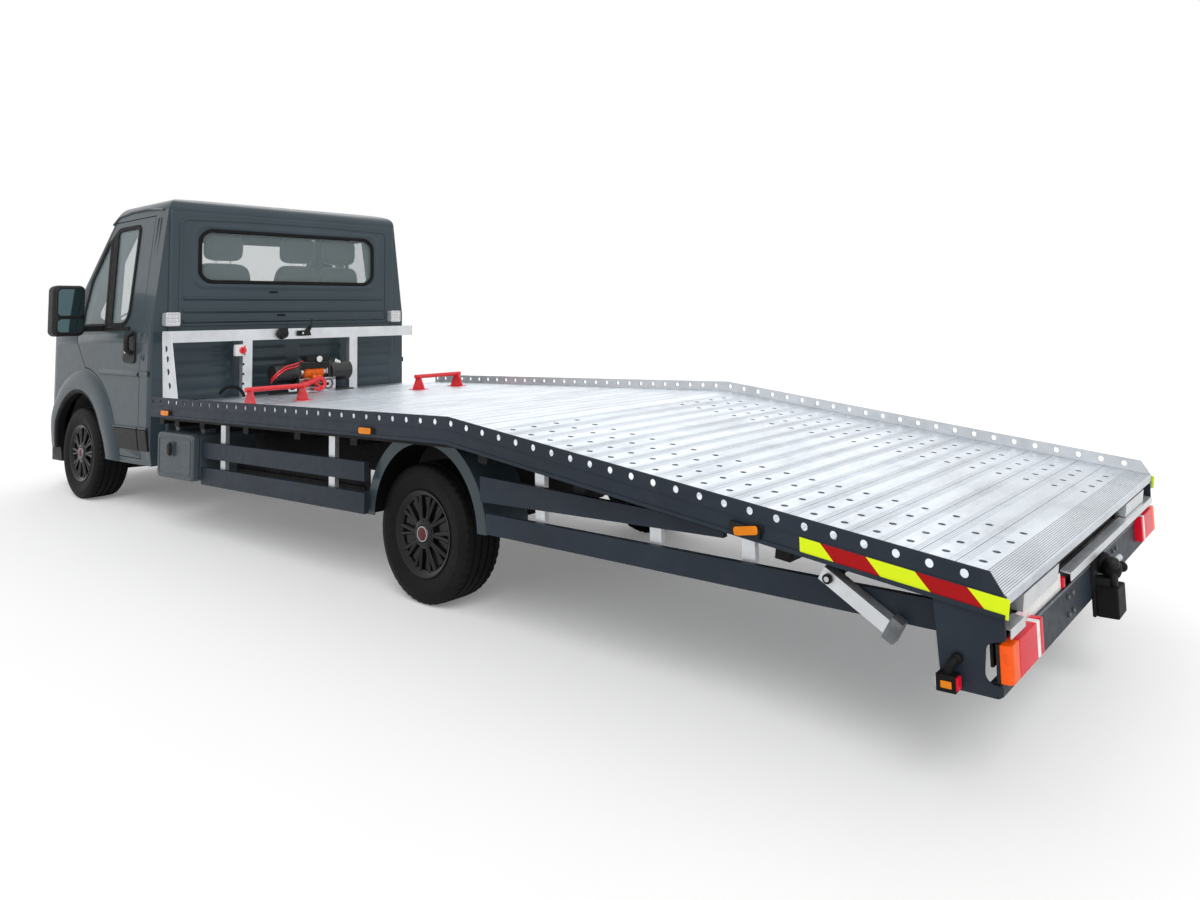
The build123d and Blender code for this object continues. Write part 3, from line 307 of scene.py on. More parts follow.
surface("strip_red", "reflective_red", (0.4, 0.002, 0.004), coat=0.05, vary=0.06, grain=0.3,
        grain_scale=900, shine=0.15)
surface("trim", "cabin_plastic", (0.035, 0.036, 0.04), 0.6, vary=0.1, scale=5, grain=0.5, grain_scale=700)
surface("carpet", "cabin_floor_mat", (0.022, 0.022, 0.024), 0.9, vary=0.3, scale=30, grain=0.9,
        grain_depth=0.001)
surface("mirror", "mirror_silver", (0.075, 0.125, 0.135), 0.03, metal=1.0, vary=0.02, spread=0.01)
surface("led", "led_lamp_face", (0.62, 0.64, 0.66), 0.3, metal=0.4, vary=0.3, scale=120, coat=0.6)
fabric("webbing", "strap_webbing", (0.1, 0.1, 0.11), 400)
fabric("cloth", "seat_cloth_charcoal", (0.05, 0.054, 0.06))
glass("screen", "screen_glass", (0.35, 0.45, 0.46), 0.18)
glass("side_glass", "side_glass", (0.3, 0.4, 0.42), 0.3)
glass("clear", "clear_lens", (0.42, 0.45, 0.47), 0.22)
lens("red_lens", (0.68, 0.004, 0.022), 0.22, 60)
lens("orange_lens", (0.9, 0.1, 0.003), 0.22, 60)
lens("amber_lens", (0.85, 0.24, 0.0), 0.12, 90)
lens("white_lens", (0.9, 0.9, 0.9), 0.1, 60)
two_sided("rail", "side_rail_coated_inside_bare", "anthracite", "bare", facing_middle)
two_sided("guard", "guard_coated_posts_bare", "anthracite", "bare", nearer_than(1.0352))
two_sided("mudguard", "mudguard_painted_inside_black", "paint", "seal", turned_to(-0.082, 0.396))
two_sided("wing", "wing_painted_inside_black", "paint", "seal", turned_to(front_axle_x, front_axle_z))
two_sided("nose", "bumper_painted_foot_black", "bumper", "black",
          turned_to(front_axle_x, front_axle_z, below=0.445))


# ---------------------------------------------------------------- shapes
class Shape:
    """A mesh put together from simple solids, whose places are relative to an origin in the body frame."""

    def __init__(self, origin=(0, 0, 0)):
        self.mesh = bmesh.new()
        self.origin = origin

    def rings(self, rings, around=False):
        """Skins a list of equal rings of points, and closes the ends or joins them to each other."""
        rows = [[self.mesh.verts.new([a + b for a, b in zip(p, self.origin)]) for p in ring]
                for ring in rings]
        count = len(rows[0])
        for a, b in zip(rows, rows[1:] + rows[:1] if around else rows[1:]):
            for k in range(count):
                self.mesh.faces.new((a[k], a[(k + 1) % count], b[(k + 1) % count], b[k]))
        if not around:
            self.mesh.faces.new(rows[0][::-1])
            self.mesh.faces.new(rows[-1])
        return self

    def prism(self, points, low, high, axis="y"):
        """An outline, drawn in the other two axes, that fills from low to high along axis."""
        spot = {"x": lambda p, t: (t, p[0], p[1]), "y": lambda p, t: (p[0], t, p[1]),
                "z": lambda p, t: (p[0], p[1], t)}[axis]
        return self.rings([[spot(p, low) for p in points], [spot(p, high) for p in points]])

    def box(self, x0, x1, y0, y1, z0, z1):
        return self.prism(rectangle(x0, x1, y0, y1), z0, z1, "z")

    def lathe(self, profile, centre, axis="y", steps=48):
        """Turns an outline of (radius, along) points about an axis through centre."""
        return self.rings([[spun_point(r, 2 * math.pi * k / steps, along, axis, centre)
                            for r, along in profile] for k in range(steps)], around=True)

    def rod(self, start, end, radius, sides=16):
        """A round bar between two points."""
        return self.tube([start, end], radius, sides)

    def tube(self, points, radius, sides=12, end_radius=None):
        """A round tube along points."""
        spots = [Vector(p) for p in points]
        rings = []
        side = None
        for k, spot in enumerate(spots):
            ahead = (spots[min(k + 1, len(spots) - 1)] - spots[max(k - 1, 0)]).normalized()
            side = ahead.orthogonal() if side is None else side - ahead * side.dot(ahead)
            side.normalize()
            up = ahead.cross(side)
            size = radius + ((end_radius or radius) - radius) * k / (len(spots) - 1)
            rings.append([spot + (side * math.cos(a) + up * math.sin(a)) * size
                          for a in (2 * math.pi * n / sides for n in range(sides))])
        return self.rings(rings)

    def ball(self, centre, radius, scale=EVEN):
        made = bmesh.ops.create_uvsphere(self.mesh, u_segments=20, v_segments=12, radius=radius)
        for vert in made["verts"]:
            vert.co = (Vector(self.origin) + Vector(centre)
                       + Vector(a * b for a, b in zip(vert.co, scale)))
        return self

    def band(self, inner, outer, where, thickness):
        """A flat ring between two outlines with as many points, set on a surface by where(u, v, lift)."""
        return self.rings([[where(*p, t) for p in outline] for outline, t in (
            (inner, 0), (inner, thickness), (outer, thickness), (outer, 0))], around=True)

    def sheet(self, outline, where, thickness, sunk=0.0):
        """A flat sheet inside an outline, set on a surface by where(u, v, lift)."""
        return self.rings([[where(*p, lift) for p in outline] for lift in (-sunk, thickness)])


def spun_point(radius, angle, along, axis, centre):
    """A point at radius and angle about an axis through centre."""
    c, s = radius * math.cos(angle), radius * math.sin(angle)
    local = {"x": (along, c, s), "y": (c, along, s), "z": (c, s, along)}[axis]
    return Vector(centre) + Vector(local)


def round_off(thing, width, segments, angle):
    """Adds a bevel to a thing's sharp edges."""
    rounding = thing.modifiers.new("rounding", "BEVEL")
    rounding.width = width
    rounding.segments = segments
    rounding.limit_method = "ANGLE"
    rounding.angle_limit = math.radians(angle)
    rounding.harden_normals = True


def make(name, shape, material, body="chassis", bevel=0.0, mirror=False, segments=2, crease=35, slot=None,
         subdivide=0):
    """Turns a shape into a placed object that rides on a body. mirror makes it on the right side."""
    mesh = shape.mesh.copy()
    if mirror:
        mesh.transform(Matrix.Scale(-1, 4, (0, 1, 0)))
    bmesh.ops.recalc_face_normals(mesh, faces=mesh.faces)
    mesh.transform(PLACE)
    data = bpy.data.meshes.new(name)
    mesh.to_mesh(data)
    mesh.free()
    data.materials.append(M[material])
    data.polygons.foreach_set("use_smooth", [True] * len(data.polygons))
    data.set_sharp_from_angle(angle=math.radians(crease))
    piece = bpy.data.objects.new(name, data)
    bpy.context.scene.collection.objects.link(piece)
    if bevel:
        round_off(piece, bevel, segments, crease)
    if subdivide:
        finer = piece.modifiers.new("finer", "SUBSURF")
        finer.levels = finer.render_levels = subdivide
    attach(piece, body)
    return piece


chassis = ("chassis", "chassis")
doors = ("door_left_body", "door_right_body")


def pair(name, shape, material, bodies=chassis, **how):
    """The same piece on the left and on the right."""
    return [make(f"{name}_{side}", shape, material, body, mirror=side == "right", **how)
            for side, body in zip(("left", "right"), bodies)]


def dress(node, material, bevel):
    """Gives a CAD node its finish, and softens its edges."""
    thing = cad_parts[node]
    thing.data.materials.clear()
    thing.data.materials.append(M[material])
    if bevel:
        thing.modifiers.new("weld", "WELD").merge_threshold = 0.00005
        round_off(thing, bevel, 2, 32)


# ---------------------------------------------------------------- CAD nodes and their finish
# each finish, its bevel and its nodes: * stands for left and right
for material, bevel, nodes in (
        ("paint", 0.004, "cab_roof cab_rear_wall cab_side_* bonnet door_*"),
        ("wing", 0.004, "front_wings"),
        ("mudguard", 0.0, "rear_mudguards"),
        ("nose", 0.004, "front_bumper"),
        ("black", 0.003, "mirror_* fuel_tank"),
        ("trim", 0.004, "dashboard"),
        ("carpet", 0.0, "cab_floor"),
        ("cloth", 0.0, "seats"),
        ("screen", 0.0, "windscreen rear_window"),
        ("side_glass", 0.0, "door_glass_*"),
        ("clear", 0.0, "headlamps"),
        ("anthracite", 0.0015, "rear_bumper"),
        # painted shade: deck_frame is given the black enamel so that the frame under the deck is as dark as
        # the shade there
        ("chassis", 0.0, "chassis_frame front_suspension rear_axle knuckle_* deck_frame"),
        ("iron", 0.01, "engine"),
        ("pipe", 0.0, "exhaust"),
        ("tyre", 0.0, "tyre_front_* tyre_rear_*"),
        ("rim", 0.0, "rim_front_* rim_rear_*"),
        ("deck", 0.0, "deck_planks"),
        ("bare", 0.0, "ramp_*"),
        ("rail", 0.0, "side_rails"),
        ("bare", 0.002, "headboard"),
        ("guard", 0.002, "side_guards"),
        ("winch", 0.003, "winch"),
        ("steel", 0.0, "winch_drum"),
        ("red", 0.0, "wheel_stops"),
        ("toolbox", 0.0, "toolbox toolbox_lid"),
        ("red_lens", 0.0, "tail_lamps"),
        ("plate", 0.001, "number_plate"),
        ("black", 0.001, "tow_hitch"),
        ("bare", 0.001, "support_leg_*"),
        ("foot_steel", 0.001, "support_foot_*"),
        ("black", 0.002, "marker_lamps"),
        ("led", 0.002, "work_lamps")):
    for node in nodes.split():
        for side in ("left", "right") if "*" in node else ("",):
            dress(node.replace("*", side), material, bevel)


# ---------------------------------------------------------------- floor, light and camera
floor_half = 40
lamps = (("key", (-0.55, 0.5, 0.67), 1.35, 35), ("fill", (0.6, -0.62, 0.5), 0.35, 60))


def studio():
    """A pale floor, an even white surround and two soft lamps."""
    mesh = bpy.data.meshes.new("floor")
    mesh.from_pydata([(x, y, 0) for x, y in rectangle(-floor_half, floor_half, -floor_half, floor_half)], [],
                     [(0, 1, 2, 3)])
    graph = surface("floor", "pale_floor", grey(0.93), 0.8, vary=0.005)
    lift = graph.number("MULTIPLY", graph.add("LightPath").outputs["Is Camera Ray"], 0.17)
    graph.put(graph.shader, {"Emission Color": (1, 1, 1, 1), "Emission Strength": lift})
    mesh.materials.append(M["floor"])
    floor = bpy.data.objects.new("floor", mesh)
    bpy.context.scene.collection.objects.link(floor)
    world = bpy.data.worlds.new("surround")
    bpy.context.scene.world = world
    graph = Graph(world)
    seen = graph.add("LightPath").outputs
    through = graph.number("MAXIMUM", seen["Is Camera Ray"], seen["Is Transmission Ray"])
    white = graph.number("MAXIMUM", through, seen["Is Glossy Ray"])
    level = graph.add("MapRange", {"Value": white, "To Min": 0.62, "To Max": 1.0})
    graph.put(graph.nodes["Background"], {"Color": (1, 1, 1, 1), "Strength": level.outputs["Result"]})
    for name, towards, strength, spread in lamps:
        data = bpy.data.lights.new(name, "SUN")
        data.energy = strength
        data.angle = math.radians(spread)
        lamp = bpy.data.objects.new(name, data)
        lamp.rotation_euler = Vector(towards).to_track_quat("Z", "Y").to_euler()
        bpy.context.scene.collection.objects.link(lamp)


camera_place = (-3.712, 3.77, 1.474)     # from the rear axle's middle, at floor level
camera_yaw = math.radians(-53.11)
camera_pitch = math.radians(3.74)
picture_width = 1200
picture_height = 900
focal_pixels = 896
principal_point = (683, 244)
sensor = 36


def set_camera():
    """The camera at the picture's viewing angle."""
    data = bpy.data.cameras.new("camera")
    data.sensor_width = sensor
    data.lens = sensor * focal_pixels / picture_width
    data.shift_x = (picture_width / 2 - principal_point[0]) / picture_width
    data.shift_y = (principal_point[1] - picture_height / 2) / picture_width
    data.clip_end = 200
    camera = bpy.data.objects.new("camera", data)
    level = math.cos(camera_pitch)
    ahead = Vector((level * math.cos(camera_yaw), level * math.sin(camera_yaw), math.sin(camera_pitch)))
    right = ahead.cross(Vector((0, 0, 1))).normalized()
    turn = Matrix((right, right.cross(ahead), -ahead)).transposed().to_4x4()
    camera.matrix_world = Matrix.Translation(Vector(camera_place) + Vector((axle_middle.x, 0, 0))) @ turn
    bpy.context.scene.collection.objects.link(camera)
    bpy.context.scene.camera = camera


# ---------------------------------------------------------------- outlines
def rectangle(u0, u1, v0, v1):
    return [(u0, v0), (u1, v0), (u1, v1), (u0, v1)]


def upright(u0, u1, v0, v1):
    """A rectangle that runs up first."""
    return [(u0, v0), (u0, v1), (u1, v1), (u1, v0)]


def rounded(points, radius, steps=6):
    """An outline with each corner rounded by an arc. radius is one size, or one for each point."""
    radii = radius if isinstance(radius, (list, tuple)) else [radius] * len(points)
    made = []
    for k, (corner, size) in enumerate(zip(points, radii)):
        here = Vector(corner)
        if not size:
            made.append(tuple(here))
            continue
        a, b = ((Vector(points[n]) - here).normalized() for n in (k - 1, (k + 1) % len(points)))
        half = a.angle(b) / 2
        reach = size / math.tan(half)
        centre = here + (a + b).normalized() * (size / math.sin(half))
        first, last = here + a * reach - centre, here + b * reach - centre
        sweep = first.angle_signed(last)
        for n in range(steps + 1):
            made.append(tuple(centre + Matrix.Rotation(-sweep * n / steps, 2) @ first))
    return made


def grown(points, distance):
    """An outline moved outwards by distance. The outline may run either way round."""
    area = sum(a[0] * b[1] - b[0] * a[1] for a, b in zip(points, points[1:] + points[:1]))
    outward = distance if area > 0 else -distance
    made = []
    for k, point in enumerate(points):
        ahead = Vector(points[(k + 1) % len(points)]) - Vector(points[k - 1])
        out = Vector((ahead.y, -ahead.x)).normalized() * outward
        made.append((point[0] + out.x, point[1] + out.y))
    return made


def circle(y, z, radius, count=32):
    return [(y + radius * math.cos(2 * math.pi * k / count), z + radius * math.sin(2 * math.pi * k / count))
            for k in range(count)]


def arc(centre, radius, start, end, steps):
    """Points along an arc across the vehicle, angles in degrees."""
    x, y, z = centre
    angles = [math.radians(start + (end - start) * k / steps) for k in range(steps + 1)]
    return [(x, y + radius * math.cos(a), z + radius * math.sin(a)) for a in angles]


def smooth_line(points, steps=6):
    """More points along a smooth line through points."""
    made = []
    spots = [Vector(p) for p in points]
    spots = [2 * spots[0] - spots[1]] + spots + [2 * spots[-1] - spots[-2]]
    for a, b, c, d in zip(spots, spots[1:], spots[2:], spots[3:]):
        for t in (k / steps for k in range(steps)):
            made.append(0.5 * ((2 * b) + (c - a) * t + (2 * a - 5 * b + 4 * c - d) * t * t
                               + (3 * b - a - 3 * c + d) * t ** 3))
    return made + [spots[-2]]


# ---------------------------------------------------------------- wheels
# half of the tyre's section: radius, distance from its middle
sidewall = [(0.203, 0.086), (0.207, 0.096), (0.213, 0.101), (0.218, 0.1035), (0.223, 0.103),
            (0.229, 0.1056), (0.25, 0.1125), (0.268, 0.1165), (0.283, 0.1168), (0.288, 0.1176), (0.293, 0.116),
            (0.312, 0.1105), (0.324, 0.106), (0.333, 0.1), (0.3385, 0.089)]
tread = [(0.34, 0.066), (0.3325, 0.0645), (0.3325, 0.0565), (0.3408, 0.055), (0.341, 0.027),
         (0.333, 0.0255), (0.333, 0.017), (0.341, 0.0155)]
tread_steps = 150
lug_every = 3
lug_depth = 0.006
spoke_count = 10
spoke_lean = 0.11
spoke_edge = 0.005
# the spoke at three radii: radius, share of its lean, half its width, its inner and outer face
spoke_line = ((0.064, 0.4, 0.0085, 0.078, 0.099), (0.12, 0.7, 0.01, 0.076, 0.096),
              (0.186, 1.0, 0.012, 0.078, 0.096))
bolt_count = 5
bolt_circle = 0.06
trim_ring = [(0.198, 0.08), (0.203, 0.094), (0.212, 0.1015), (0.21, 0.1065), (0.199, 0.104), (0.186, 0.095),
             (0.176, 0.086), (0.176, 0.076)]
trim_hub = [(0.000, 0.0525), (0.074, 0.0525), (0.08, 0.074), (0.074, 0.096), (0.06, 0.103), (0.044, 0.105),
            (0.04, 0.099), (0.000, 0.099)]
trim_back = [(0.06, 0.07), (0.182, 0.074), (0.182, 0.079), (0.06, 0.076)]
cap_profile = [(0, 0.098), (0.032, 0.098), (0.033, 0.107), (0.029, 0.11), (0, 0.1115)]
cap_ring_profile = [(0.032, 0.1), (0.038, 0.1), (0.037, 0.1085), (0.033, 0.1085)]


def tyre_shape(centre):
    """A tyre with four grooves and cut shoulders."""
    half = sidewall + tread
    section = half + [(r, -y) for r, y in reversed(half)]
    rings = []
    for k in range(tread_steps):
        depth = 0 if k % lug_every else lug_depth
        rings.append([spun_point(r - depth * (0.0655 < abs(y) < 0.102 and r > 0.33),
                                 2 * math.pi * k / tread_steps, y, "y", centre) for r, y in section])
    return Shape().rings(rings, around=True)


def trim_shape(centre):
    """A wheel trim with pairs of thin spokes and five bolt heads."""
    shape = Shape(centre)
    for profile, steps in ((trim_ring, 72), (trim_hub, 60), (trim_back, 60)):
        shape.lathe(profile, (0, 0, 0), steps=steps)
    for k in range(spoke_count):
        for lean in (-spoke_lean, spoke_lean):
            rings = []
            for r, share, half_width, low, high in spoke_line:
                a = 2 * math.pi * k / spoke_count + lean * share
                c, s = math.cos(a), math.sin(a)
                outline = [(-1, low), (1, low), (1, high - spoke_edge), (0.35, high), (-0.35, high),
                           (-1, high - spoke_edge)]
                rings.append([(c * r - s * t * half_width, y, s * r + c * t * half_width)
                              for t, y in outline])
            shape.rings(rings)
    for k in range(bolt_count):
        a = 2 * math.pi * k / bolt_count + 0.3
        x, z = bolt_circle * math.cos(a), bolt_circle * math.sin(a)
        shape.rod((x, 0.09, z), (x, 0.1045, z), 0.009, 6)
    return shape


def wheels():
    """The tread, trim, cap and valve of each wheel."""
    centres = {"front": (front_axle_x, front_y, front_axle_z), "rear": (0, rear_y, tyre_radius)}
    for name, centre in centres.items():
        bodies = (f"wheel_{name}_left", f"wheel_{name}_right")
        tyres = pair(f"tread_{name}", tyre_shape(centre), "tyre", bodies, crease=30)
        for side, piece in zip(("left", "right"), tyres):
            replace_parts(piece, f"tyre_{name}_{side}")
        pair(f"trim_{name}", trim_shape(centre), "rim", bodies, bevel=0.0015)
        pair(f"cap_{name}", Shape().lathe(cap_profile, centre, steps=40), "cap", bodies)
        pair(f"cap_ring_{name}", Shape().lathe(cap_ring_profile, centre, steps=40), "galvanised", bodies,
             slot="rim_black")
        valve = Shape(centre).rod((0.168, 0.078, 0), (0.158, 0.103, 0), 0.004, 8)
        pair(f"valve_{name}", valve, "seal", bodies, slot="rim_black")


# ---------------------------------------------------------------- deck
rib_height = 0.0016
rib_half = 0.0018
rib_offsets = (-0.055, -0.046, -0.037, 0.037, 0.046, 0.055)
fine_rib_pitch = 0.0085
last_rib = slope_length - 0.008
groove_shade_outline = ((-0.0019, 0), (-0.0019, 0.0005), (0.0019, 0.0005), (0.0019, 0))


def deck_ribs():
    """Low ribs along each plank, clear of its holes, and close ribs on the last one, with painted shade
    between them.
    """
    flat_length = rail_front_x - kink_x
    count = round(flat_length / plank_pitch)
    places = [-(k + 0.5) * flat_length / count + offset for k in range(count) for offset in rib_offsets]
    s = first_joint + plank_pitch / 2
    while s < fine_ribs_start:
        places += [s + offset for offset in rib_offsets if s + offset < fine_ribs_start]
        s += plank_pitch
    close = int((slope_length - fine_ribs_start - 0.014) / fine_rib_pitch)
    places += [last_rib - k * fine_rib_pitch for k in range(close)]
    ribs, grooves = Shape(), Shape()
    for s in places:
        if abs(s) >= 0.006 and s <= slope_length - 0.004:
            corners = [(s + t * rib_half, lift) for t, lift in (
                (-2, 0), (-1, rib_height), (1, rib_height), (2, 0))]
            outline = [deck_point(t, -lift) if t > 0 else (kink_x - t, deck_z + lift) for t, lift in corners]
            ribs.prism(outline, -plank_half_width, plank_half_width)
    make("deck_ribs", ribs, "deck", crease=60)
    for k in range(close - 1):
        s = last_rib - (k + 0.5) * fine_rib_pitch
        grooves.prism([deck_point(s + t, -lift) for t, lift in groove_shade_outline], -plank_half_width,
                      plank_half_width)
    # painted shade: dark strips between the close ribs, whose own finish is the deck aluminium
    make("deck_groove_shades", grooves, "foot_steel", slot="deck_aluminium")


strip_start_x = -2.223
strip_first = -2.298
strip_pitch = 0.16
strip_slant = 0.06
strip_end_x = -2.893
seam_end_x = -2.875


def rail_z(x, depth):
    """The height at x of a line along the sloping rail, at a depth under the deck."""
    return deck_z - (kink_x - x) * math.tan(deck_slope) - depth / math.cos(deck_slope)


def on_rail(thickness):
    """Where a prism on the outside of the rail runs from and to."""
    return rail_outer_y, rail_outer_y + thickness


def rail_strips():
    """Slanted yellow and red bands along the rear of each side rail, and the rail's seam."""
    starts = [strip_first - k * strip_pitch for k in range(4)]
    edges = ([(strip_start_x, strip_start_x)] + [(x, x - strip_slant) for x in starts]
             + [(strip_end_x - 0.008, strip_end_x)])
    for k, (front, back) in enumerate(zip(edges, edges[1:])):
        corners = [(front[0], 0.004), (back[0], 0.004), (back[1], 0.063), (front[1], 0.063)]
        shape = Shape().prism([(x, rail_z(x, depth)) for x, depth in corners], *on_rail(0.0012))
        pair(f"band_{k}", shape, "strip_red" if k % 2 else "yellow")
    seam = Shape()
    for x0, z0, x1, z1 in ((rail_front_x, deck_z, kink_x, deck_z),
                           (kink_x, deck_z, seam_end_x, rail_z(seam_end_x, 0))):
        seam.prism([(x0, z0), (x1, z1), (x1, z1 - 0.004), (x0, z0 - 0.004)], *on_rail(0.0016))
    pair("rail_seam", seam, "anthracite")


# each amber lamp: x, z, lean
markers = ((2.361, 0.852, 0), (0.197, 0.852, 0), (-2.021, rail_z(-2.021, 0.033), -deck_slope))


def marker_bases():
    """A black base plate with two screws and a lens for each amber lamp."""
    for k, (x, z, lean) in enumerate(markers):
        turn = Matrix.Rotation(lean, 2)

        def leaning(points):
            return [tuple(Vector((x, z)) + turn @ Vector(p)) for p in points]

        plate = leaning(rounded(rectangle(-0.066, 0.066, -0.017, 0.017), 0.012))
        shape = Shape().prism(plate, *on_rail(0.006))
        for screw_x, screw_z in leaning([(-0.057, 0), (0.057, 0)]):
            start, end = on_rail(0.009)
            shape.rod((screw_x, start, screw_z), (screw_x, end, screw_z), 0.005, 10)
        pair(f"marker_base_{k}", shape, "black", bevel=0.001)
        outline = leaning(rounded(rectangle(-0.049, 0.049, -0.015, 0.015), 0.01))
        front = Shape().prism(outline, rail_outer_y + 0.012, rail_outer_y + 0.0185)
        pair(f"marker_lens_{k}", front, "amber_lens", bevel=0.002)


# ---------------------------------------------------------------- cab surfaces
sill_bend_z = 0.7
sill_lean = 0.1125
waist_z = 1.33
window_lean = 0.1153
nose_bend_x = 4.52
nose_radius = 0.48
skin_depth = 0.0075


def side_y(x, z):
    """The distance of the cab's side from the middle plane."""
    y = cab_half_width - max(0, sill_bend_z - z) * sill_lean - max(0, z - waist_z) * window_lean
    if x > nose_bend_x:
        y -= nose_radius - math.sqrt(max(0.0, nose_radius ** 2 - (x - nose_bend_x) ** 2))
    return y


def on_side(x, z, lift):
    """A place on the cab's left side."""
    return (x, side_y(x, z) + lift, z)


def on_back(y, z, lift):
    """A place on the cab's rear wall."""
    return (cab_back_x - lift, y, z)


def on_skin(y, z, lift):
    """A place on the skin of the cab's rear wall."""
    return (cab_back_x - skin_depth - lift, y, z)


def step(value, edge, width):
    """A smooth rise from 0 to 1 at edge."""
    t = min(1, max(0, (value - edge) / width + 0.5))
    return t * t * (3 - 2 * t)


def ridge(value, low, high, soft):
    """1 between low and high, with soft flanks."""
    return step(value, low, soft) * (1 - step(value, high, soft))


wall_half = 0.915
wall_low = 0.56
wall_high = 2.225
wall_grid = 0.0105
window_half_y = 0.706
window_half_z = 0.186
window_z = 1.9075
window_corner = 0.09
frame_half = 0.838
frame_low = 1.412
frame_top = 2.178
frame_line = [(-frame_half, frame_low), (-frame_half, frame_top - 0.01), (-0.3, frame_top + 0.004),
              (0.3, frame_top + 0.004), (frame_half, frame_top - 0.01), (frame_half, frame_low)]
rib_end = 0.812


def wall_relief(y, z):
    """How far the pressed rear wall stands behind its plane."""
    out = skin_depth + 0.004 * ridge(abs(y), 0.88, 0.905, 0.02)
    far = math.hypot(max(abs(y) - window_half_y, -0.04) + 0.04,
                     max(abs(z - window_z) - window_half_z, -0.04) + 0.04) - 0.04
    out += 0.007 * ridge(far, 0.018, 0.046, 0.012)
    for low_y, high_y in ((0.06, 0.4), (0.49, 0.86)):
        for rib_z in (0.95, 1.04, 1.13, 1.22):
            out -= 0.006 * ridge(abs(y), low_y, high_y, 0.02) * ridge(z, rib_z - 0.016, rib_z + 0.016, 0.014)
    fade = min(wall_half - abs(y), wall_high - z, z - wall_low) / 0.012
    return out * min(1, max(0, fade)) + 0.0005


def rear_wall():
    """The pressed skin of the rear wall, with its window opening."""
    shape = Shape()
    columns = int(2 * wall_half / wall_grid)
    rows = int((wall_high - wall_low) / wall_grid)
    verts = {}

    def place(i, k):
        return -wall_half + 2 * wall_half * i / columns, wall_low + (wall_high - wall_low) * k / rows

    def vert(i, k):
        if (i, k) not in verts:
            verts[i, k] = shape.mesh.verts.new(on_back(*place(i, k), wall_relief(*place(i, k))))
        return verts[i, k]

    for i in range(columns):
        for k in range(rows):
            y, z = place(i + 0.5, k + 0.5)
            beyond = (max(abs(y) - (window_half_y - window_corner), 0),
                      max(abs(z - window_z) - (window_half_z - window_corner), 0))
            if math.hypot(*beyond) >= 0.085:
                shape.mesh.faces.new((vert(i, k), vert(i + 1, k), vert(i + 1, k + 1), vert(i, k + 1)))
    piece = make("rear_wall_skin", shape, "paint", crease=80)
    piece.modifiers.new("thick", "SOLIDIFY").thickness = 0.0012


def wall_beads():
    """The pressed frame round the window, with painted shade in the groove each side, the ribs under it with
    painted shadows below them, painted shade in two pressed slots, and the seal.
    """
    line = rounded(frame_line, [0.02, 0.05, 0, 0, 0.05, 0.02])
    bead = Shape().band(grown(line, -0.01), grown(line, 0.01), on_skin, 0.008)
    make("wall_frame_bead", bead, "paint", bevel=0.003, segments=3)
    # painted shade: a dark strip in the groove each side of the frame bead, whose own finish is the body paint
    for name, reach in (("outer", 0.0135), ("inner", -0.0135)):
        groove = Shape().band(grown(line, reach - 0.0035), grown(line, reach + 0.0035), on_skin, 0.0012)
        make(f"wall_frame_groove_shade_{name}", groove, "seal", slot="body_paint")
    ribs, shadows, slots = Shape(), Shape(), Shape()
    x = cab_back_x - 0.0065
    for z in (1.604, 1.513, 1.439):
        ribs.prism([(x, z + 0.01), (x - 0.013, z + 0.001), (x - 0.013, z - 0.006), (x, z - 0.024)], -rib_end,
                   rib_end)
        # painted shadows: dark strips under the three ribs
        shadows.prism([(x, z - 0.024), (x - 0.0022, z - 0.024), (x - 0.0022, z - 0.03), (x, z - 0.03)],
                      -rib_end, rib_end)
    make("wall_ribs", ribs, "paint", bevel=0.002)
    make("wall_rib_shadows", shadows, "seal", slot="body_paint")
    # painted shade: dark marks in two pressed slots of the wall, whose own finish is the body paint
    for y, z in ((0.156, 1.65), (0.092, 1.474)):
        slots.sheet(rounded(upright(y - 0.035, y + 0.035, z - 0.008, z + 0.008), 0.006), on_skin, 0.0022)
    make("wall_slot_shades", slots, "seal", slot="body_paint")
    opening = rounded(upright(-window_half_y, window_half_y, window_z - window_half_z,
                              window_z + window_half_z), window_corner, 12)
    seal = Shape().band(grown(opening, -0.013), grown(opening, 0.012), on_back, 0.018)
    make("rear_window_seal", seal, "seal", bevel=0.005, segments=3)


main_window = rounded([(3.268, 1.425), (3.3, 2.14), (3.68, 2.14), (3.56, 1.425)],
                      [0.11, 0.045, 0.045, 0.025])
quarter_window = rounded([(3.65, 1.425), (3.765, 2.07), (3.815, 2.04), (4.025, 1.765), (4.078, 1.54),
                          (4.078, 1.425)], [0.015, 0.015, 0.015, 0.06, 0.06, 0.015])
pressing_loop = rounded([(2.985, 1.18), (2.985, 2.17), (3.022, 2.175), (3.014, 1.18)], 0.012, 4)
gutter_line = [(2.965, 2.232), (3.23, 2.262), (3.48, 2.262), (3.7, 2.24), (3.79, 2.19)]
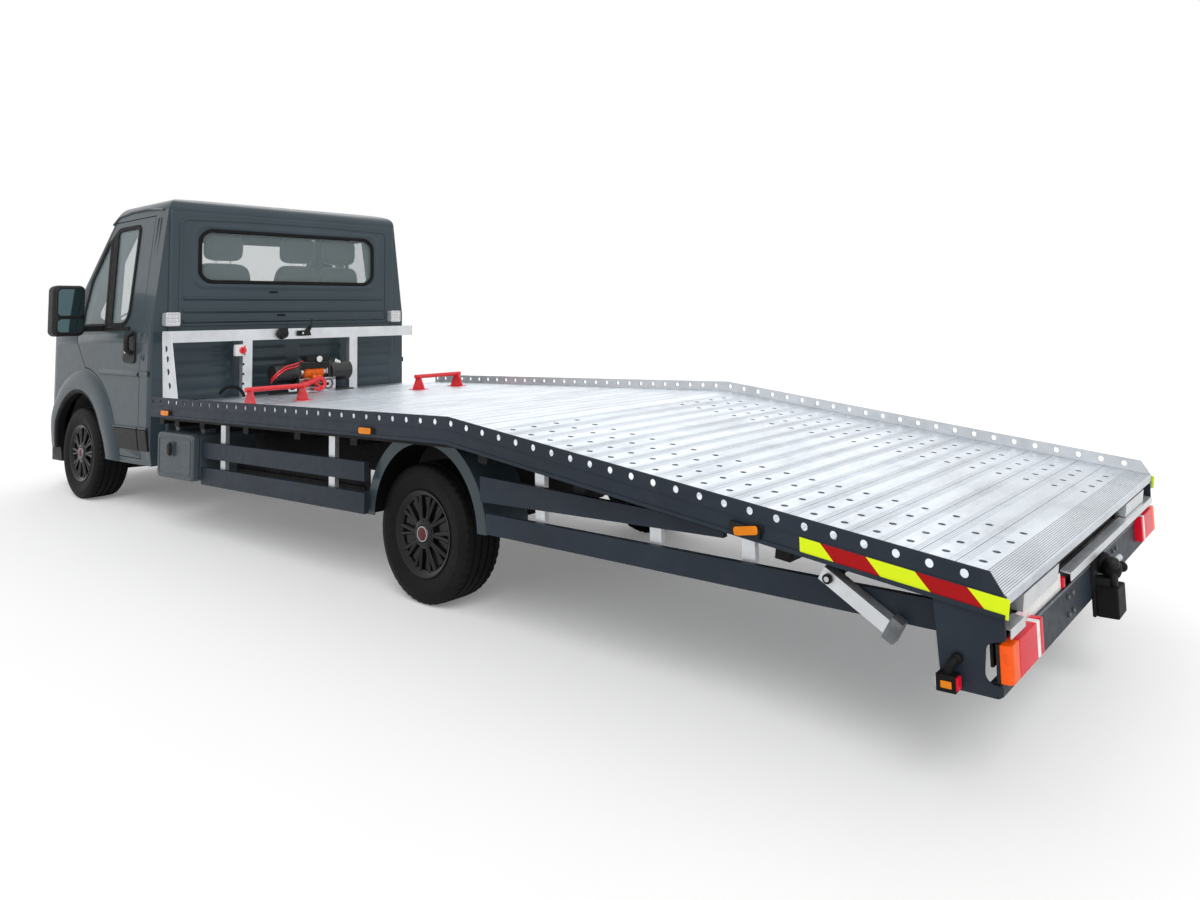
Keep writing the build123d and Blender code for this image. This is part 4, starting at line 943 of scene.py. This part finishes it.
# sheets on the cab's side: name, finish, bodies, outline, thickness, bevel, segments
side_sheets = (
    ("window_divider", "seal", doors, [(3.556, 1.42), (3.676, 2.145), (3.77, 2.085), (3.655, 1.42)],
     0.0045, 0.001, 2),
    ("belt_seal", "seal", doors, [(3.235, 1.388), (3.235, 1.412), (4.085, 1.412), (4.105, 1.388)],
     0.008, 0.003, 2),
    ("handle_plate", "black", doors,
     rounded([(3.109, 1.15), (3.109, 1.375), (3.29, 1.385), (3.304, 1.16)], 0.035), 0.01, 0.004, 3),
    ("door_moulding", "black", doors, [(3.048, 0.556), (3.048, 0.7), (3.43, 0.7), (3.396, 0.556)],
     0.014, 0.006, 3),
    ("door_moulding_edge", "paint", doors, [(3.048, 0.704), (3.048, 0.716), (3.434, 0.716), (3.431, 0.704)],
     0.012, 0.004, 2),
    ("side_moulding", "black", chassis, upright(2.9, 3.034, 0.556, 0.7), 0.014, 0.006, 3),
    ("side_moulding_edge", "paint", chassis, upright(2.9, 3.034, 0.704, 0.716), 0.012, 0.004, 2),
    ("side_crease", "paint", chassis, [(2.905, 1.062), (2.905, 1.1), (3.034, 1.103), (3.034, 1.064)],
     0.009, 0.0065, 4))
crease_foot = ((3.048, 1.06), (3.048, 1.106), (3.7, 1.112), (3.706, 1.068))
crease_top = ((3.048, 1.068), (3.048, 1.082), (3.702, 1.088), (3.706, 1.076))
handle_line = [(3.15, 1.035, 1.22), (3.15, 1.068, 1.245), (3.152, 1.072, 1.3), (3.156, 1.066, 1.345),
               (3.158, 1.032, 1.365)]
flare_steps = 40
flare_angles = (2, 181)
flare_profile = [(0.4495, -0.03), (0.4495, 0.016), (0.458, 0.026), (0.48, 0.03), (0.56, 0.028),
                 (0.6, 0.019), (0.622, 0.006), (0.63, -0.01)]


def side_details():
    """Window seals, handle, mouldings and pressings of the doors and of the cab's side, and the gutter."""
    seals = Shape()
    for outline in (main_window, quarter_window):
        seals.band(grown(outline, -0.016), grown(outline, 0.014), on_side, 0.006)
    pair("window_seal", seals, "seal", doors, bevel=0.002)
    for name, material, bodies, outline, thickness, bevel, segments in side_sheets:
        shape = Shape().sheet(outline, on_side, thickness)
        pair(name, shape, material, bodies, bevel=bevel, segments=segments)
    pair("handle_grip", Shape().tube(handle_line, 0.017, 14), "black", doors)
    lock = Shape().rod((3.245, 1.03, 1.235), (3.245, 1.044, 1.235), 0.014, 20)
    pair("door_lock", lock, "steel", doors, slot="black_plastic", bevel=0.001)
    crease = Shape().rings([[on_side(*p, 0) for p in crease_foot], [on_side(*p, 0.017) for p in crease_top]])
    pair("door_crease", crease, "paint", doors, bevel=0.002)
    pressing = Shape().band(pressing_loop, grown(pressing_loop, 0.009), on_side, 0.005)
    pair("side_pressing", pressing, "paint", bevel=0.003)
    gutter = Shape().tube([on_side(*p, 0.001) for p in gutter_line], 0.009, 10)
    pair("roof_gutter", gutter, "paint")


def wheel_flares():
    """A rounded flare round each front wheel arch."""
    rings = []
    for k in range(flare_steps + 1):
        a = math.radians(flare_angles[0] + (flare_angles[1] - flare_angles[0]) * k / flare_steps)
        rings.append([on_side(front_axle_x + r * math.cos(a), front_axle_z + r * math.sin(a), lift)
                      for r, lift in flare_profile])
    pair("wheel_flare", Shape().rings(rings), "wing")


# ---------------------------------------------------------------- headboard and winch
rope_radius = 0.005
rope_layers = ((0.056, 15), (0.067, 14))     # radius, turns
socket_profile = [(0, 0), (0.042, 0), (0.042, -0.016), (0.036, -0.022), (0.036, -0.04), (0.031, -0.044),
                  (0, -0.044)]
bracket_outline = rounded([(0.055, 1.312), (0.055, 1.352), (-0.01, 1.352), (-0.045, 1.392), (-0.072, 1.392),
                           (-0.045, 1.345), (-0.06, 1.312)], 0.008)


def headboard_details():
    """The trailer socket, the coupling bracket, the isolator switch and the cable loop."""
    board = (board_x, 0, 0)
    socket = Shape(board).lathe(socket_profile, (-0.0005, 0.175, 1.333), "x", 40)
    socket.box(-0.052, -0.04, 0.15, 0.2, 1.326, 1.372)
    make("trailer_socket", socket, "black", bevel=0.002)
    bracket = Shape(board).prism(bracket_outline, -0.018, -0.0005, "x")
    bracket.rod((-0.03, 0.02, 1.332), (-0.01, 0.02, 1.332), 0.017, 24)
    bracket.rod((-0.024, -0.045, 1.362), (-0.016, -0.062, 1.44), 0.007, 12)
    make("coupling_bracket", bracket, "black", bevel=0.002)
    make("coupling_dot", Shape(board).rod((-0.032, 0.02, 1.332), (-0.0295, 0.02, 1.332), 0.007), "white")
    case = Shape(board).box(-0.04, -0.001, 0.466, 0.535, 1.18, 1.262)
    make("isolator_case", case, "white", bevel=0.006, segments=3)
    knob = Shape(board).rod((-0.052, 0.487, 1.221), (-0.039, 0.487, 1.221), 0.024, 24)
    knob.box(-0.068, -0.05, 0.48, 0.494, 1.2, 1.242).box(-0.046, -0.038, 0.468, 0.476, 1.186, 1.256)
    make("isolator_knob", knob, "red", bevel=0.002)
    loop = arc((0, 0.585, deck_z + 0.01), 0.075, 160, 20, 12)
    loop = [(2.62 + 0.05 * k / len(loop), y, z) for k, (x, y, z) in enumerate(loop)]
    make("cable_loop", Shape().tube([(2.6, 0.515, deck_z + 0.012)] + loop, 0.011), "seal")
    cap = Shape(board).box(0, 0.045, -0.988, -0.984, beam_low_z, beam_high_z)
    make("beam_end_cap", cap, "seal", bevel=0.0015)
    clips = Shape(board)
    for z in (0.98, 1.05, 1.12):
        clips.ball((-0.004, 0.462, z), 0.008)
    make("cable_clips", clips, "seal")


def winch_body():
    """The winch's foot, motor, gearbox, cheeks, tie rods, control box and knobs."""
    body = Shape(winch_spot).box(-0.09, 0.028, -0.318, 0.318, 0, 0.012)
    for start, end, radius in ((0.135, 0.312, 0.068), (-0.135, -0.306, 0.074), (-0.3, -0.318, 0.052)):
        body.rod((-0.015, start, drum_height), (-0.015, end, drum_height), radius, 40)
    for inner, outer in ((0.112, 0.14), (-0.14, -0.112)):
        body.box(-0.065, 0.028, inner, outer, 0.012, 0.232)
    for x in (-0.05, 0.018):
        body.rod((x, -0.12, 0.222), (x, 0.12, 0.222), 0.009)
    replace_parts(make("winch_body", body, "winch", bevel=0.005, segments=3), "winch")
    motor_bands = Shape(winch_spot)
    for k in range(9):
        y = 0.16 + k * 0.017
        motor_bands.rod((-0.015, y, drum_height), (-0.015, y + 0.006, drum_height), 0.0715, 40)
    make("winch_motor_bands", motor_bands, "winch", bevel=0.001)
    control = Shape(winch_spot).box(-0.06, 0.026, -0.13, 0.06, 0.226, 0.265)
    control.box(-0.079, -0.064, -0.112, 0.112, 0.176, 0.222)
    make("winch_control_box", control, "black", slot="winch_black", bevel=0.006, segments=3)
    knobs = Shape(winch_spot).rod((-0.062, -0.03, 0.246), (-0.078, -0.03, 0.246), 0.024, 20)
    knobs.rod((-0.04, -0.17, 0.228), (-0.04, -0.215, 0.205), 0.021)
    make("winch_knobs", knobs, "steel", bevel=0.002)
    fairlead = Shape(winch_spot)
    for y0, y1, z0, z1 in ((-0.148, 0.148, 0, 0.024), (-0.148, 0.148, 0.084, 0.106),
                           (-0.148, -0.092, 0, 0.106), (0.148, 0.092, 0, 0.106)):
        fairlead.box(-0.104, -0.09, y0, y1, z0, z1)
    for z in (0.036, 0.074):
        fairlead.rod((-0.097, -0.095, z), (-0.097, 0.095, z), 0.011, 20)
    make("winch_fairlead", fairlead, "steel", slot="winch_black", bevel=0.0015)


def rope_and_hook():
    """The rope on its drum, its run through the fairlead, the red hook, strap, shackle and leads."""
    turns = Shape(winch_spot)
    for radius, count in rope_layers:
        profile = [(radius + rope_radius * math.cos(a), rope_radius * math.sin(a))
                   for a in (2 * math.pi * n / 8 for n in range(8))]
        for k in range(count):
            y = (k - (count - 1) / 2) * 2 * rope_radius * 1.04
            turns.lathe(profile, (0, y, drum_height), "y", 40)
    make("rope_on_drum", turns, "orange", "winch_drum_body")
    lead = Shape(winch_spot).tube([(-0.055, 0.02, 0.1), (-0.08, 0.02, 0.07), (-0.104, 0.02, 0.055),
                                   (-0.13, 0.018, 0.058)], rope_radius)
    for k in range(7):
        coil = (-0.118 - 0.004 * (k % 2), -0.03 + 0.013 * k, 0.085 + 0.014 * (k % 3))
        lead.ball(coil, 0.017, (0.9, 1.0, 1.0))
    make("rope_lead", lead, "orange")
    hook_spot = (winch_spot[0] - 0.15, winch_spot[1] + 0.07, deck_z)
    curve = arc((0, -0.055, 0.062), 0.043, 60, 330, 20)
    hook = Shape(hook_spot).tube([(0, 0.055, 0.066), (0, 0, 0.082)] + curve, 0.018, 16, 0.011)
    hook.rod((0, 0.04, 0.066), (0, 0.09, 0.06), 0.025, 20)
    hook.tube([(-0.004, -0.006, 0.086), (-0.006, -0.04, 0.06), (-0.004, -0.072, 0.03)], 0.009)
    make("winch_hook", hook, "red")
    strap = Shape(hook_spot).tube(arc((-0.004, -0.125, 0.06), 0.036, 30, 330, 18), 0.008, 10)
    make("hook_strap", strap, "webbing")
    shackle = Shape(hook_spot).tube(arc((0.005, 0.155, 0.04), 0.026, -30, 210, 14), 0.008)
    shackle.rod((0.005, 0.125, 0.026), (0.005, 0.186, 0.026), 0.008, 12)
    make("shackle", shackle, "steel")
    leads = Shape(winch_spot)
    for z in (0.17, 0.19):
        leads.tube(smooth_line([(-0.03, 0.08, 0.235), (-0.068, 0.15, z + 0.03), (-0.09, 0.25, z + 0.01),
                                (-0.08, 0.318, z - 0.04), (-0.03, 0.325, z - 0.08)]), 0.006, 10)
    make("winch_leads", leads, "red")


def work_lamp_faces():
    """A rim and a grid of small reflectors on each square work lamp."""
    lamp = (cab_back_x - 0.06, 0.855, 1.405)
    outline = rounded(rectangle(0.004, 0.091, 0.004, 0.091), 0.01)
    rim = Shape(lamp).band(grown(outline, -0.006), outline, lambda y, z, lift: (-lift, y, z), 0.004)
    pair("work_lamp_rim", rim, "led", slot="black_plastic")
    cells = Shape(lamp)
    for i in range(3):
        for k in range(3):
            cells.lathe([(0, 0), (0.01, 0), (0.01, -0.002), (0.006, -0.0005), (0, -0.0005)],
                        (0, 0.0235 + i * 0.024, 0.0235 + k * 0.024), "x", 16)
    pair("work_lamp_cells", cells, "steel", slot="lens")


# ---------------------------------------------------------------- rear end
under_x = -2.862
beam_top_z = 0.386
lamp_low = 0.29
lamp_high = 0.402
lamp_back_x = -2.893
lamp_face_x = -2.8565
ramp_low_z = 0.449
# sections of a tail lamp: name, inner and outer y, finish, radius of its outer corner
lamp_sections = (("orange", 1.048, 1.1195, "orange_lens", 0.02), ("brake", 0.868, 1.046, "red_lens", 0.003),
                 ("reverse", 0.836, 0.866, "white_lens", 0.003), ("tail", 0.801, 0.834, "red_lens", 0.003))
stalk_line = [(-2.735, 1.125, 0.345), (-2.733, 1.148, 0.342), (-2.722, 1.158, 0.325), (-2.718, 1.156, 0.3)]
stalk_lenses = (("white", (-2.69, -2.681, 1.139, 1.171, 0.264, 0.3), "white_lens", 0.003),
                ("red", (-2.75, -2.741, 1.139, 1.171, 0.264, 0.3), "red_lens", 0.003),
                ("amber", (-2.733, -2.7, 1.174, 1.1795, 0.27, 0.29), "amber_lens", 0.002))
# the ramp tray's lip in section: x, height over ramp_low_z
lip_section = ((-2.889, -0.034), (-2.889, -0.006), (-2.85, -0.001), (-2.85, -0.006), (-2.884, -0.011),
               (-2.884, -0.034))
leg_pivot = (1.937, 0.115)     # along the slope, under the deck


def tail_lamps():
    """Each tail lamp: a black tray and four coloured lenses. Then the red lamp by the number plate."""
    for name, y0, y1, material, corner in lamp_sections:
        outline = rounded([(lamp_face_x, y1), (lamp_back_x, y1), (lamp_back_x, y0), (lamp_face_x, y0)],
                          [0.004, corner, 0.004, 0.003], 8)
        shape = Shape().prism(outline, lamp_low + 0.002, lamp_high - 0.002, "z")
        pieces = pair(f"tail_lens_{name}", shape, material, bevel=0.004, segments=3)
        if name == "brake":
            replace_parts(pieces[0], "tail_lamps")
    tray = Shape().box(lamp_face_x, -2.846, 0.96, 1.1195, lamp_low, lamp_high)
    pair("tail_lamp_tray", tray, "black", bevel=0.002)
    end_lamp = Shape().box(under_x, -2.846, 0.402, 0.43, beam_top_z, 0.424)
    make("plate_end_lamp", end_lamp, "red_lens", bevel=0.005)


def stalk_lamps():
    """The marker lamps on rubber stalks under the rear corners."""
    stalk = Shape().tube(smooth_line(stalk_line), 0.013, 16).ball((-2.737, 1.134, 0.345), 0.017)
    stalk.box(-2.744, -2.686, 1.134, 1.176, 0.258, 0.306)
    pair("stalk_lamp", stalk, "seal", bevel=0.006, segments=3)
    for name, size, material, bevel in stalk_lenses:
        pair(f"stalk_lamp_{name}", Shape().box(*size), material, bevel=bevel)


def rear_details():
    """The hitch's coupling jaw and socket, bolts, a painted highlight along the beam's top edge, the panels
    and the ramp tray's lip.
    """
    under = (under_x, 0, 0)
    jaw = Shape(under).box(-0.014, 0, -0.235, 0.06, 0.19, 0.3)
    jaw.box(-0.092, -0.012, -0.085, 0.045, 0.19, 0.3)
    make("hitch_jaw", jaw, "seal", bevel=0.006, segments=3)
    socket = Shape(under).lathe([(0, 0), (0.04, 0), (0.042, -0.03), (0.034, -0.046), (0, -0.05)],
                                (0, -0.06, 0.368), "x", 32)
    socket.ball((-0.062, -0.02, 0.362), 0.036, (1.0, 1.1, 1.2)).ball((-0.082, -0.1, 0.352), 0.02)
    make("hitch_cover", socket, "seal", bevel=0.002)
    pin = Shape(under).rod((-0.066, -0.08, 0.378), (-0.074, -0.112, 0.386), 0.012, 14)
    make("hitch_pin", pin, "galvanised", bevel=0.001)
    bolts = Shape(under)
    for y in (0.33, 0.39):
        for z in (0.29, 0.35):
            bolts.rod((0, y, z), (-0.008, y, z), 0.009, 6)
    pair("rear_bolts", bolts, "foot_steel", slot="galvanised", bevel=0.001)
    # painted highlight: a lighter steel strip along the top edge of the rear beam, whose own finish is the
    # anthracite coating
    edge = Shape(under).box(-0.003, 0, -1.118, 0.79, beam_top_z - 0.008, beam_top_z)
    make("beam_top_highlight", edge, "foot_steel", slot="anthracite", bevel=0.001)
    panel = Shape().box(-2.836, -2.826, -0.54, 0.54, 0.33, 0.505)
    make("rear_cross_panel", panel, "chassis", bevel=0.002)
    under_ramp = Shape().box(-2.836, -2.826, 0.53, 1.11, 0.33, ramp_low_z - 0.01)
    pair("rear_side_panel", under_ramp, "chassis", bevel=0.002)
    lip = Shape()
    for y0, y1 in ((-1.1, 0.425), (0.965, 1.1)):
        lip.prism([(x, ramp_low_z + z) for x, z in lip_section], y0, y1)
    make("ramp_tray_lip", lip, "bare", bevel=0.0015)


def side_pieces():
    """The pivot bolts of the support legs, and black ribbed sheets behind the side guards, which are painted
    shade where the space under the deck is dark.
    """
    x, z = deck_point(*leg_pivot)
    bolt = Shape((x, 0, z)).rod((0, 1.112, 0), (0, 1.1265, 0), 0.016, 6)
    bolt.rod((0, 1.1255, 0), (0, 1.13, 0), 0.009)
    pair("leg_bolt", bolt, "galvanised", bevel=0.0015)
    # painted shade: a black ribbed sheet behind each side guard, put where there is only shade under the deck
    shade_sheet = Shape().prism([(0.57, 0.385), (0.57, 0.59), (0.6, 0.62), (2.000, 0.62), (2.000, 0.385)],
                           0.858, 0.862)
    for z in (0.43, 0.49, 0.55):
        shade_sheet.box(0.61, 1.96, 0.862, 0.868, z - 0.01, z + 0.01)
    pair("painted_shade_sheet", shade_sheet, "chassis", bevel=0.0015)


# ---------------------------------------------------------------- toolbox and mirrors
def facing_left(distance):
    """A function that sets a place on a plane that faces left."""
    return lambda x, z, lift: (x, distance + lift, z)


def toolbox_details():
    """The toolbox lid's raised panel, latch and handle."""
    lid = "toolbox_lid_body"
    panel = rounded(upright(2.08, 2.513, 0.462, 0.7), 0.03)
    ring = Shape().band(grown(panel, -0.01), panel, facing_left(1.1115), 0.004)
    make("lid_panel", ring, "toolbox", lid, bevel=0.002)
    latch = Shape().sheet(rounded(upright(2.291, 2.359, 0.584, 0.668), 0.033), facing_left(1.1262), 0.005)
    make("lid_latch", latch, "seal", lid, bevel=0.002)
    handle = Shape().box(2.312, 2.338, 1.13, 1.138, 0.6, 0.634)
    handle.rod((2.325, 1.13, 0.65), (2.325, 1.135, 0.65), 0.008, 20)
    make("lid_handle", handle, "black", lid, bevel=0.002)


def mirror_glasses():
    """The two reflecting glasses of each mirror, and their frames."""
    def on_mirror(y, z, lift):
        return (3.6295 - lift, y, z)

    for name, z0, z1 in (("main", 1.5, 1.693), ("wide", 1.382, 1.478)):
        outline = rounded(upright(1.176, 1.334, z0, z1), 0.028, 8)
        pair(f"mirror_glass_{name}", Shape().sheet(outline, on_mirror, 0.003), "mirror", doors)
        rim = Shape().band(grown(outline, -0.002), grown(outline, 0.009), on_mirror, 0.006)
        pair(f"mirror_rim_{name}", rim, "black", doors, bevel=0.002)


# ---------------------------------------------------------------- inside the cab
seat_x = 3.18
seat_z = 1.24
driver_y = 0.4
cushion_steps = (28, 16)


def bent(value, power):
    """A signed root, which squares off a round form."""
    return math.copysign(abs(value) ** (2 / power), value)


def cushion(centre, size, lean, power):
    """A padded block with crowned faces: a superellipsoid, flatter where the power is larger."""
    around, upward = cushion_steps
    turn = Matrix.Rotation(lean, 3, "Y")
    rings = []
    for i in range(1, upward):
        v = -math.pi / 2 + math.pi * i / upward
        ring = []
        for u in (2 * math.pi * k / around for k in range(around)):
            point = (bent(math.cos(v), power) * bent(math.cos(u), power),
                     bent(math.cos(v), power) * bent(math.sin(u), power), bent(math.sin(v), power))
            ring.append(turn @ Vector(a * b / 2 for a, b in zip(point, size)))
        rings.append(ring)
    return Shape(centre).rings(rings)


def one_seat(name, y, width):
    """A seat place: base cushion, backrest with painted shade along its seam lines, and a headrest on two
    posts.
    """
    spot = Vector((seat_x, y, seat_z))
    made = []
    for part, place, size, lean, power in (
            ("base", (0.3, 0, -0.045), (0.54, width, 0.15), 0, 5),
            ("back", (0.045, 0, 0.295), (0.125, width - 0.02, 0.7), -0.165, 5),
            ("head", (-0.012, 0, 0.763), (0.105, 0.284, 0.212), -0.06, 4)):
        shape = cushion(spot + Vector(place), size, lean, power)
        made.append(make(f"seat_{name}_{part}", shape, "cloth", subdivide=1, crease=180))
    posts, seam_shades = Shape(spot), Shape(spot)
    for side in (-1, 1):
        posts.rod((-0.016, side * 0.055, 0.615), (-0.014, side * 0.055, 0.68), 0.006, 12)
        seam_shades.tube(smooth_line([(0.112 - 0.105 * t, side * width * 0.3, 0.02 + 0.52 * t)
                                for t in (0, 0.25, 0.5, 0.75, 1)]), 0.004, 6)
    make(f"seat_{name}_posts", posts, "steel")
    # painted shade: dark lines down the backrest, whose own finish is the seat cloth
    make(f"seat_{name}_seams", seam_shades, "seal", slot="cloth")
    return made[0]


def cab_inside():
    """The seats on their plinths, the roof lining's front edge and two sun visors."""
    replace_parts(one_seat("driver", driver_y, 0.45), "seats")
    one_seat("middle", -0.2, 0.376)
    one_seat("outer", -0.572, 0.376)
    base = Shape((seat_x, 0, 0))
    for y0, y1 in ((driver_y - 0.185, driver_y + 0.185), (-0.72, -0.05)):
        base.prism([(0.08, 0.78), (0.5, 0.78), (0.53, seat_z - 0.115), (0.05, seat_z - 0.115)], y0, y1)
    make("seat_plinths", base, "trim", bevel=0.012, segments=3)
    lining = Shape().box(3.69, 3.8, -0.74, 0.74, 2.165, 2.215)
    make("roof_lining_edge", lining, "trim", bevel=0.012, segments=3)
    visor = Shape().prism([(3.79, 2.196), (3.89, 2.096), (3.902, 2.106), (3.804, 2.21)], 0.04, 0.72)
    pair("sun_visor", visor, "trim", bevel=0.006, segments=3)


# ---------------------------------------------------------------- nose
# mouths in the nose: name, half its width, its foot and top, number of bars
mouths = (("grille", 0.54, 0.915, 0.998, 3), ("air_intake", 0.6, 0.575, 0.735, 5))
badge_z = 0.957
bumper_line_z = 0.56     # where the bumper's curve is taken from, clear of its notch
badge_profile = [(0, -0.004), (0.05, -0.004), (0.052, 0.01), (0.046, 0.015), (0.04, 0.013), (0, 0.017)]
fog_lamp_spot = (0.79, 0.64)
housing_outline = [(0.65, 0.912), (0.618, 1.022), (0.705, 1.048), (0.895, 1.176), (0.948, 1.176),
                   (0.948, 0.972), (0.895, 0.912)]
bowls = ((0.735, 0.972, 0.042), (0.845, 1.015, 0.046), (0.905, 1.11, 0.03))     # y, z, radius
light_line = ((0.66, 0.925), (0.76, 0.925), (0.885, 0.928), (0.932, 0.985), (0.936, 1.08), (0.936, 1.16))


def front_of(name):
    """A function that sets a place on the front of a CAD node."""
    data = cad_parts[name].data
    level = PLACE.inverted()
    found = BVHTree.FromPolygons([level @ vertex.co for vertex in data.vertices],
                                 [list(face.vertices) for face in data.polygons])

    def place(y, z, lift):
        return (found.ray_cast(Vector((6, y, z)), Vector((-1, 0, 0)))[0].x + lift, y, z)
    return place


def strip(shape, half, low, high, where, thickness, sunk=0.006, steps=24):
    """A strip across the nose from -half to half, which follows its curve."""
    return shape.rings([[where(half * (2 * k / steps - 1), z, lift) for z, lift in (
        (low, -sunk), (high, -sunk), (high, thickness), (low, thickness))] for k in range(steps + 1)])


def nose_details():
    """The grille, the lower air intake, a plain badge, fog lamps and a blank number plate."""
    on_nose = front_of("front_bumper")
    for name, half, low, high, bars in mouths:
        make(f"{name}_mouth", strip(Shape(), half, low, high, on_nose, 0.002), "seal")
        slats = Shape()
        for z in (low + (high - low) * (k + 1) / (bars + 1) for k in range(bars)):
            strip(slats, half - 0.004, z - 0.005, z + 0.005, on_nose, 0.011)
        for edge in (low, high):
            strip(slats, half, edge - 0.007, edge + 0.007, on_nose, 0.009)
        for side in (-1, 1):
            end = upright(side * (half - 0.007), side * (half + 0.007), low - 0.007, high + 0.007)
            slats.sheet(rounded(end, 0.003, 3), on_nose, 0.009, sunk=0.006)
        make(f"{name}_bars", slats, "black", bevel=0.0015)
    badge = Shape().lathe(badge_profile, on_nose(0, badge_z, 0), "x", 40)
    make("nose_badge_blank", badge, "black")
    plate = strip(Shape(), 0.26, 0.6, 0.71, on_nose, 0.016, sunk=-0.01)
    make("front_plate_blank", plate, "plate", bevel=0.002)

    def on_bumper(y, z, lift):
        return (on_nose(y, bumper_line_z, lift)[0], y, z)

    lip = strip(Shape(), 0.93, 0.384, 0.54, on_bumper, 0.004, sunk=0.012)
    make("bumper_lip", lip, "black", slot="bumper_paint", bevel=0.001)
    ring = Shape().band(circle(*fog_lamp_spot, 0.048), circle(*fog_lamp_spot, 0.066), on_nose, 0.008)
    pair("fog_lamp_ring", ring, "black", bevel=0.002)
    pair("fog_lamp", Shape().sheet(circle(*fog_lamp_spot, 0.049), on_nose, 0.003), "led", bevel=0.001)


def wipers():
    for k, (pivot_y, reach) in enumerate(((0.62, -0.58), (-0.02, -0.56))):
        arm = Shape((0, pivot_y, 0)).tube(smooth_line([(4.52, 0, 1.47), (4.455, reach * 0.15, 1.545),
                                                       (4.36, reach * 0.6, 1.64)], 4), 0.007, 8)
        arm.rod((4.545, 0, 1.44), (4.515, 0, 1.478), 0.015)
        make(f"wiper_arm_{k}", arm, "black")


def front_lamp_insides():
    """A black housing, reflector bowls and a light strip inside each headlamp."""
    on_lamp = front_of("headlamps")
    housing = Shape().sheet(housing_outline, lambda y, z, lift: on_lamp(y, z, -0.072 - lift), 0.01)
    pair("headlamp_housing", housing, "seal")
    shape = Shape()
    for y, z, r in bowls:
        x = on_lamp(y, z, -0.052)[0]
        shape.lathe([(0.006, -0.014), (0.6 * r, -0.008), (r, 0.022), (r + 0.003, 0.022), (0.6 * r, -0.013),
                     (0.006, -0.019)], (x, y, z), "x", 32)
        shape.ball((x + 0.004, y, z), r * 0.35)
    pair("headlamp_bowls", shape, "steel", slot="lens")
    light = Shape().tube([on_lamp(*p, -0.035) for p in light_line], 0.006, 10)
    pair("headlamp_strip", light, "white_lens", slot="lens")


studio()
set_camera()
bpy.context.scene.view_settings.view_transform = "Standard"
for build in (wheels, deck_ribs, rail_strips, marker_bases, rear_wall, wall_beads, side_details, wheel_flares,
              headboard_details, winch_body, rope_and_hook, work_lamp_faces, tail_lamps, stalk_lamps,
              rear_details, side_pieces, toolbox_details, mirror_glasses, cab_inside, wipers, nose_details,
              front_lamp_insides):
    build()
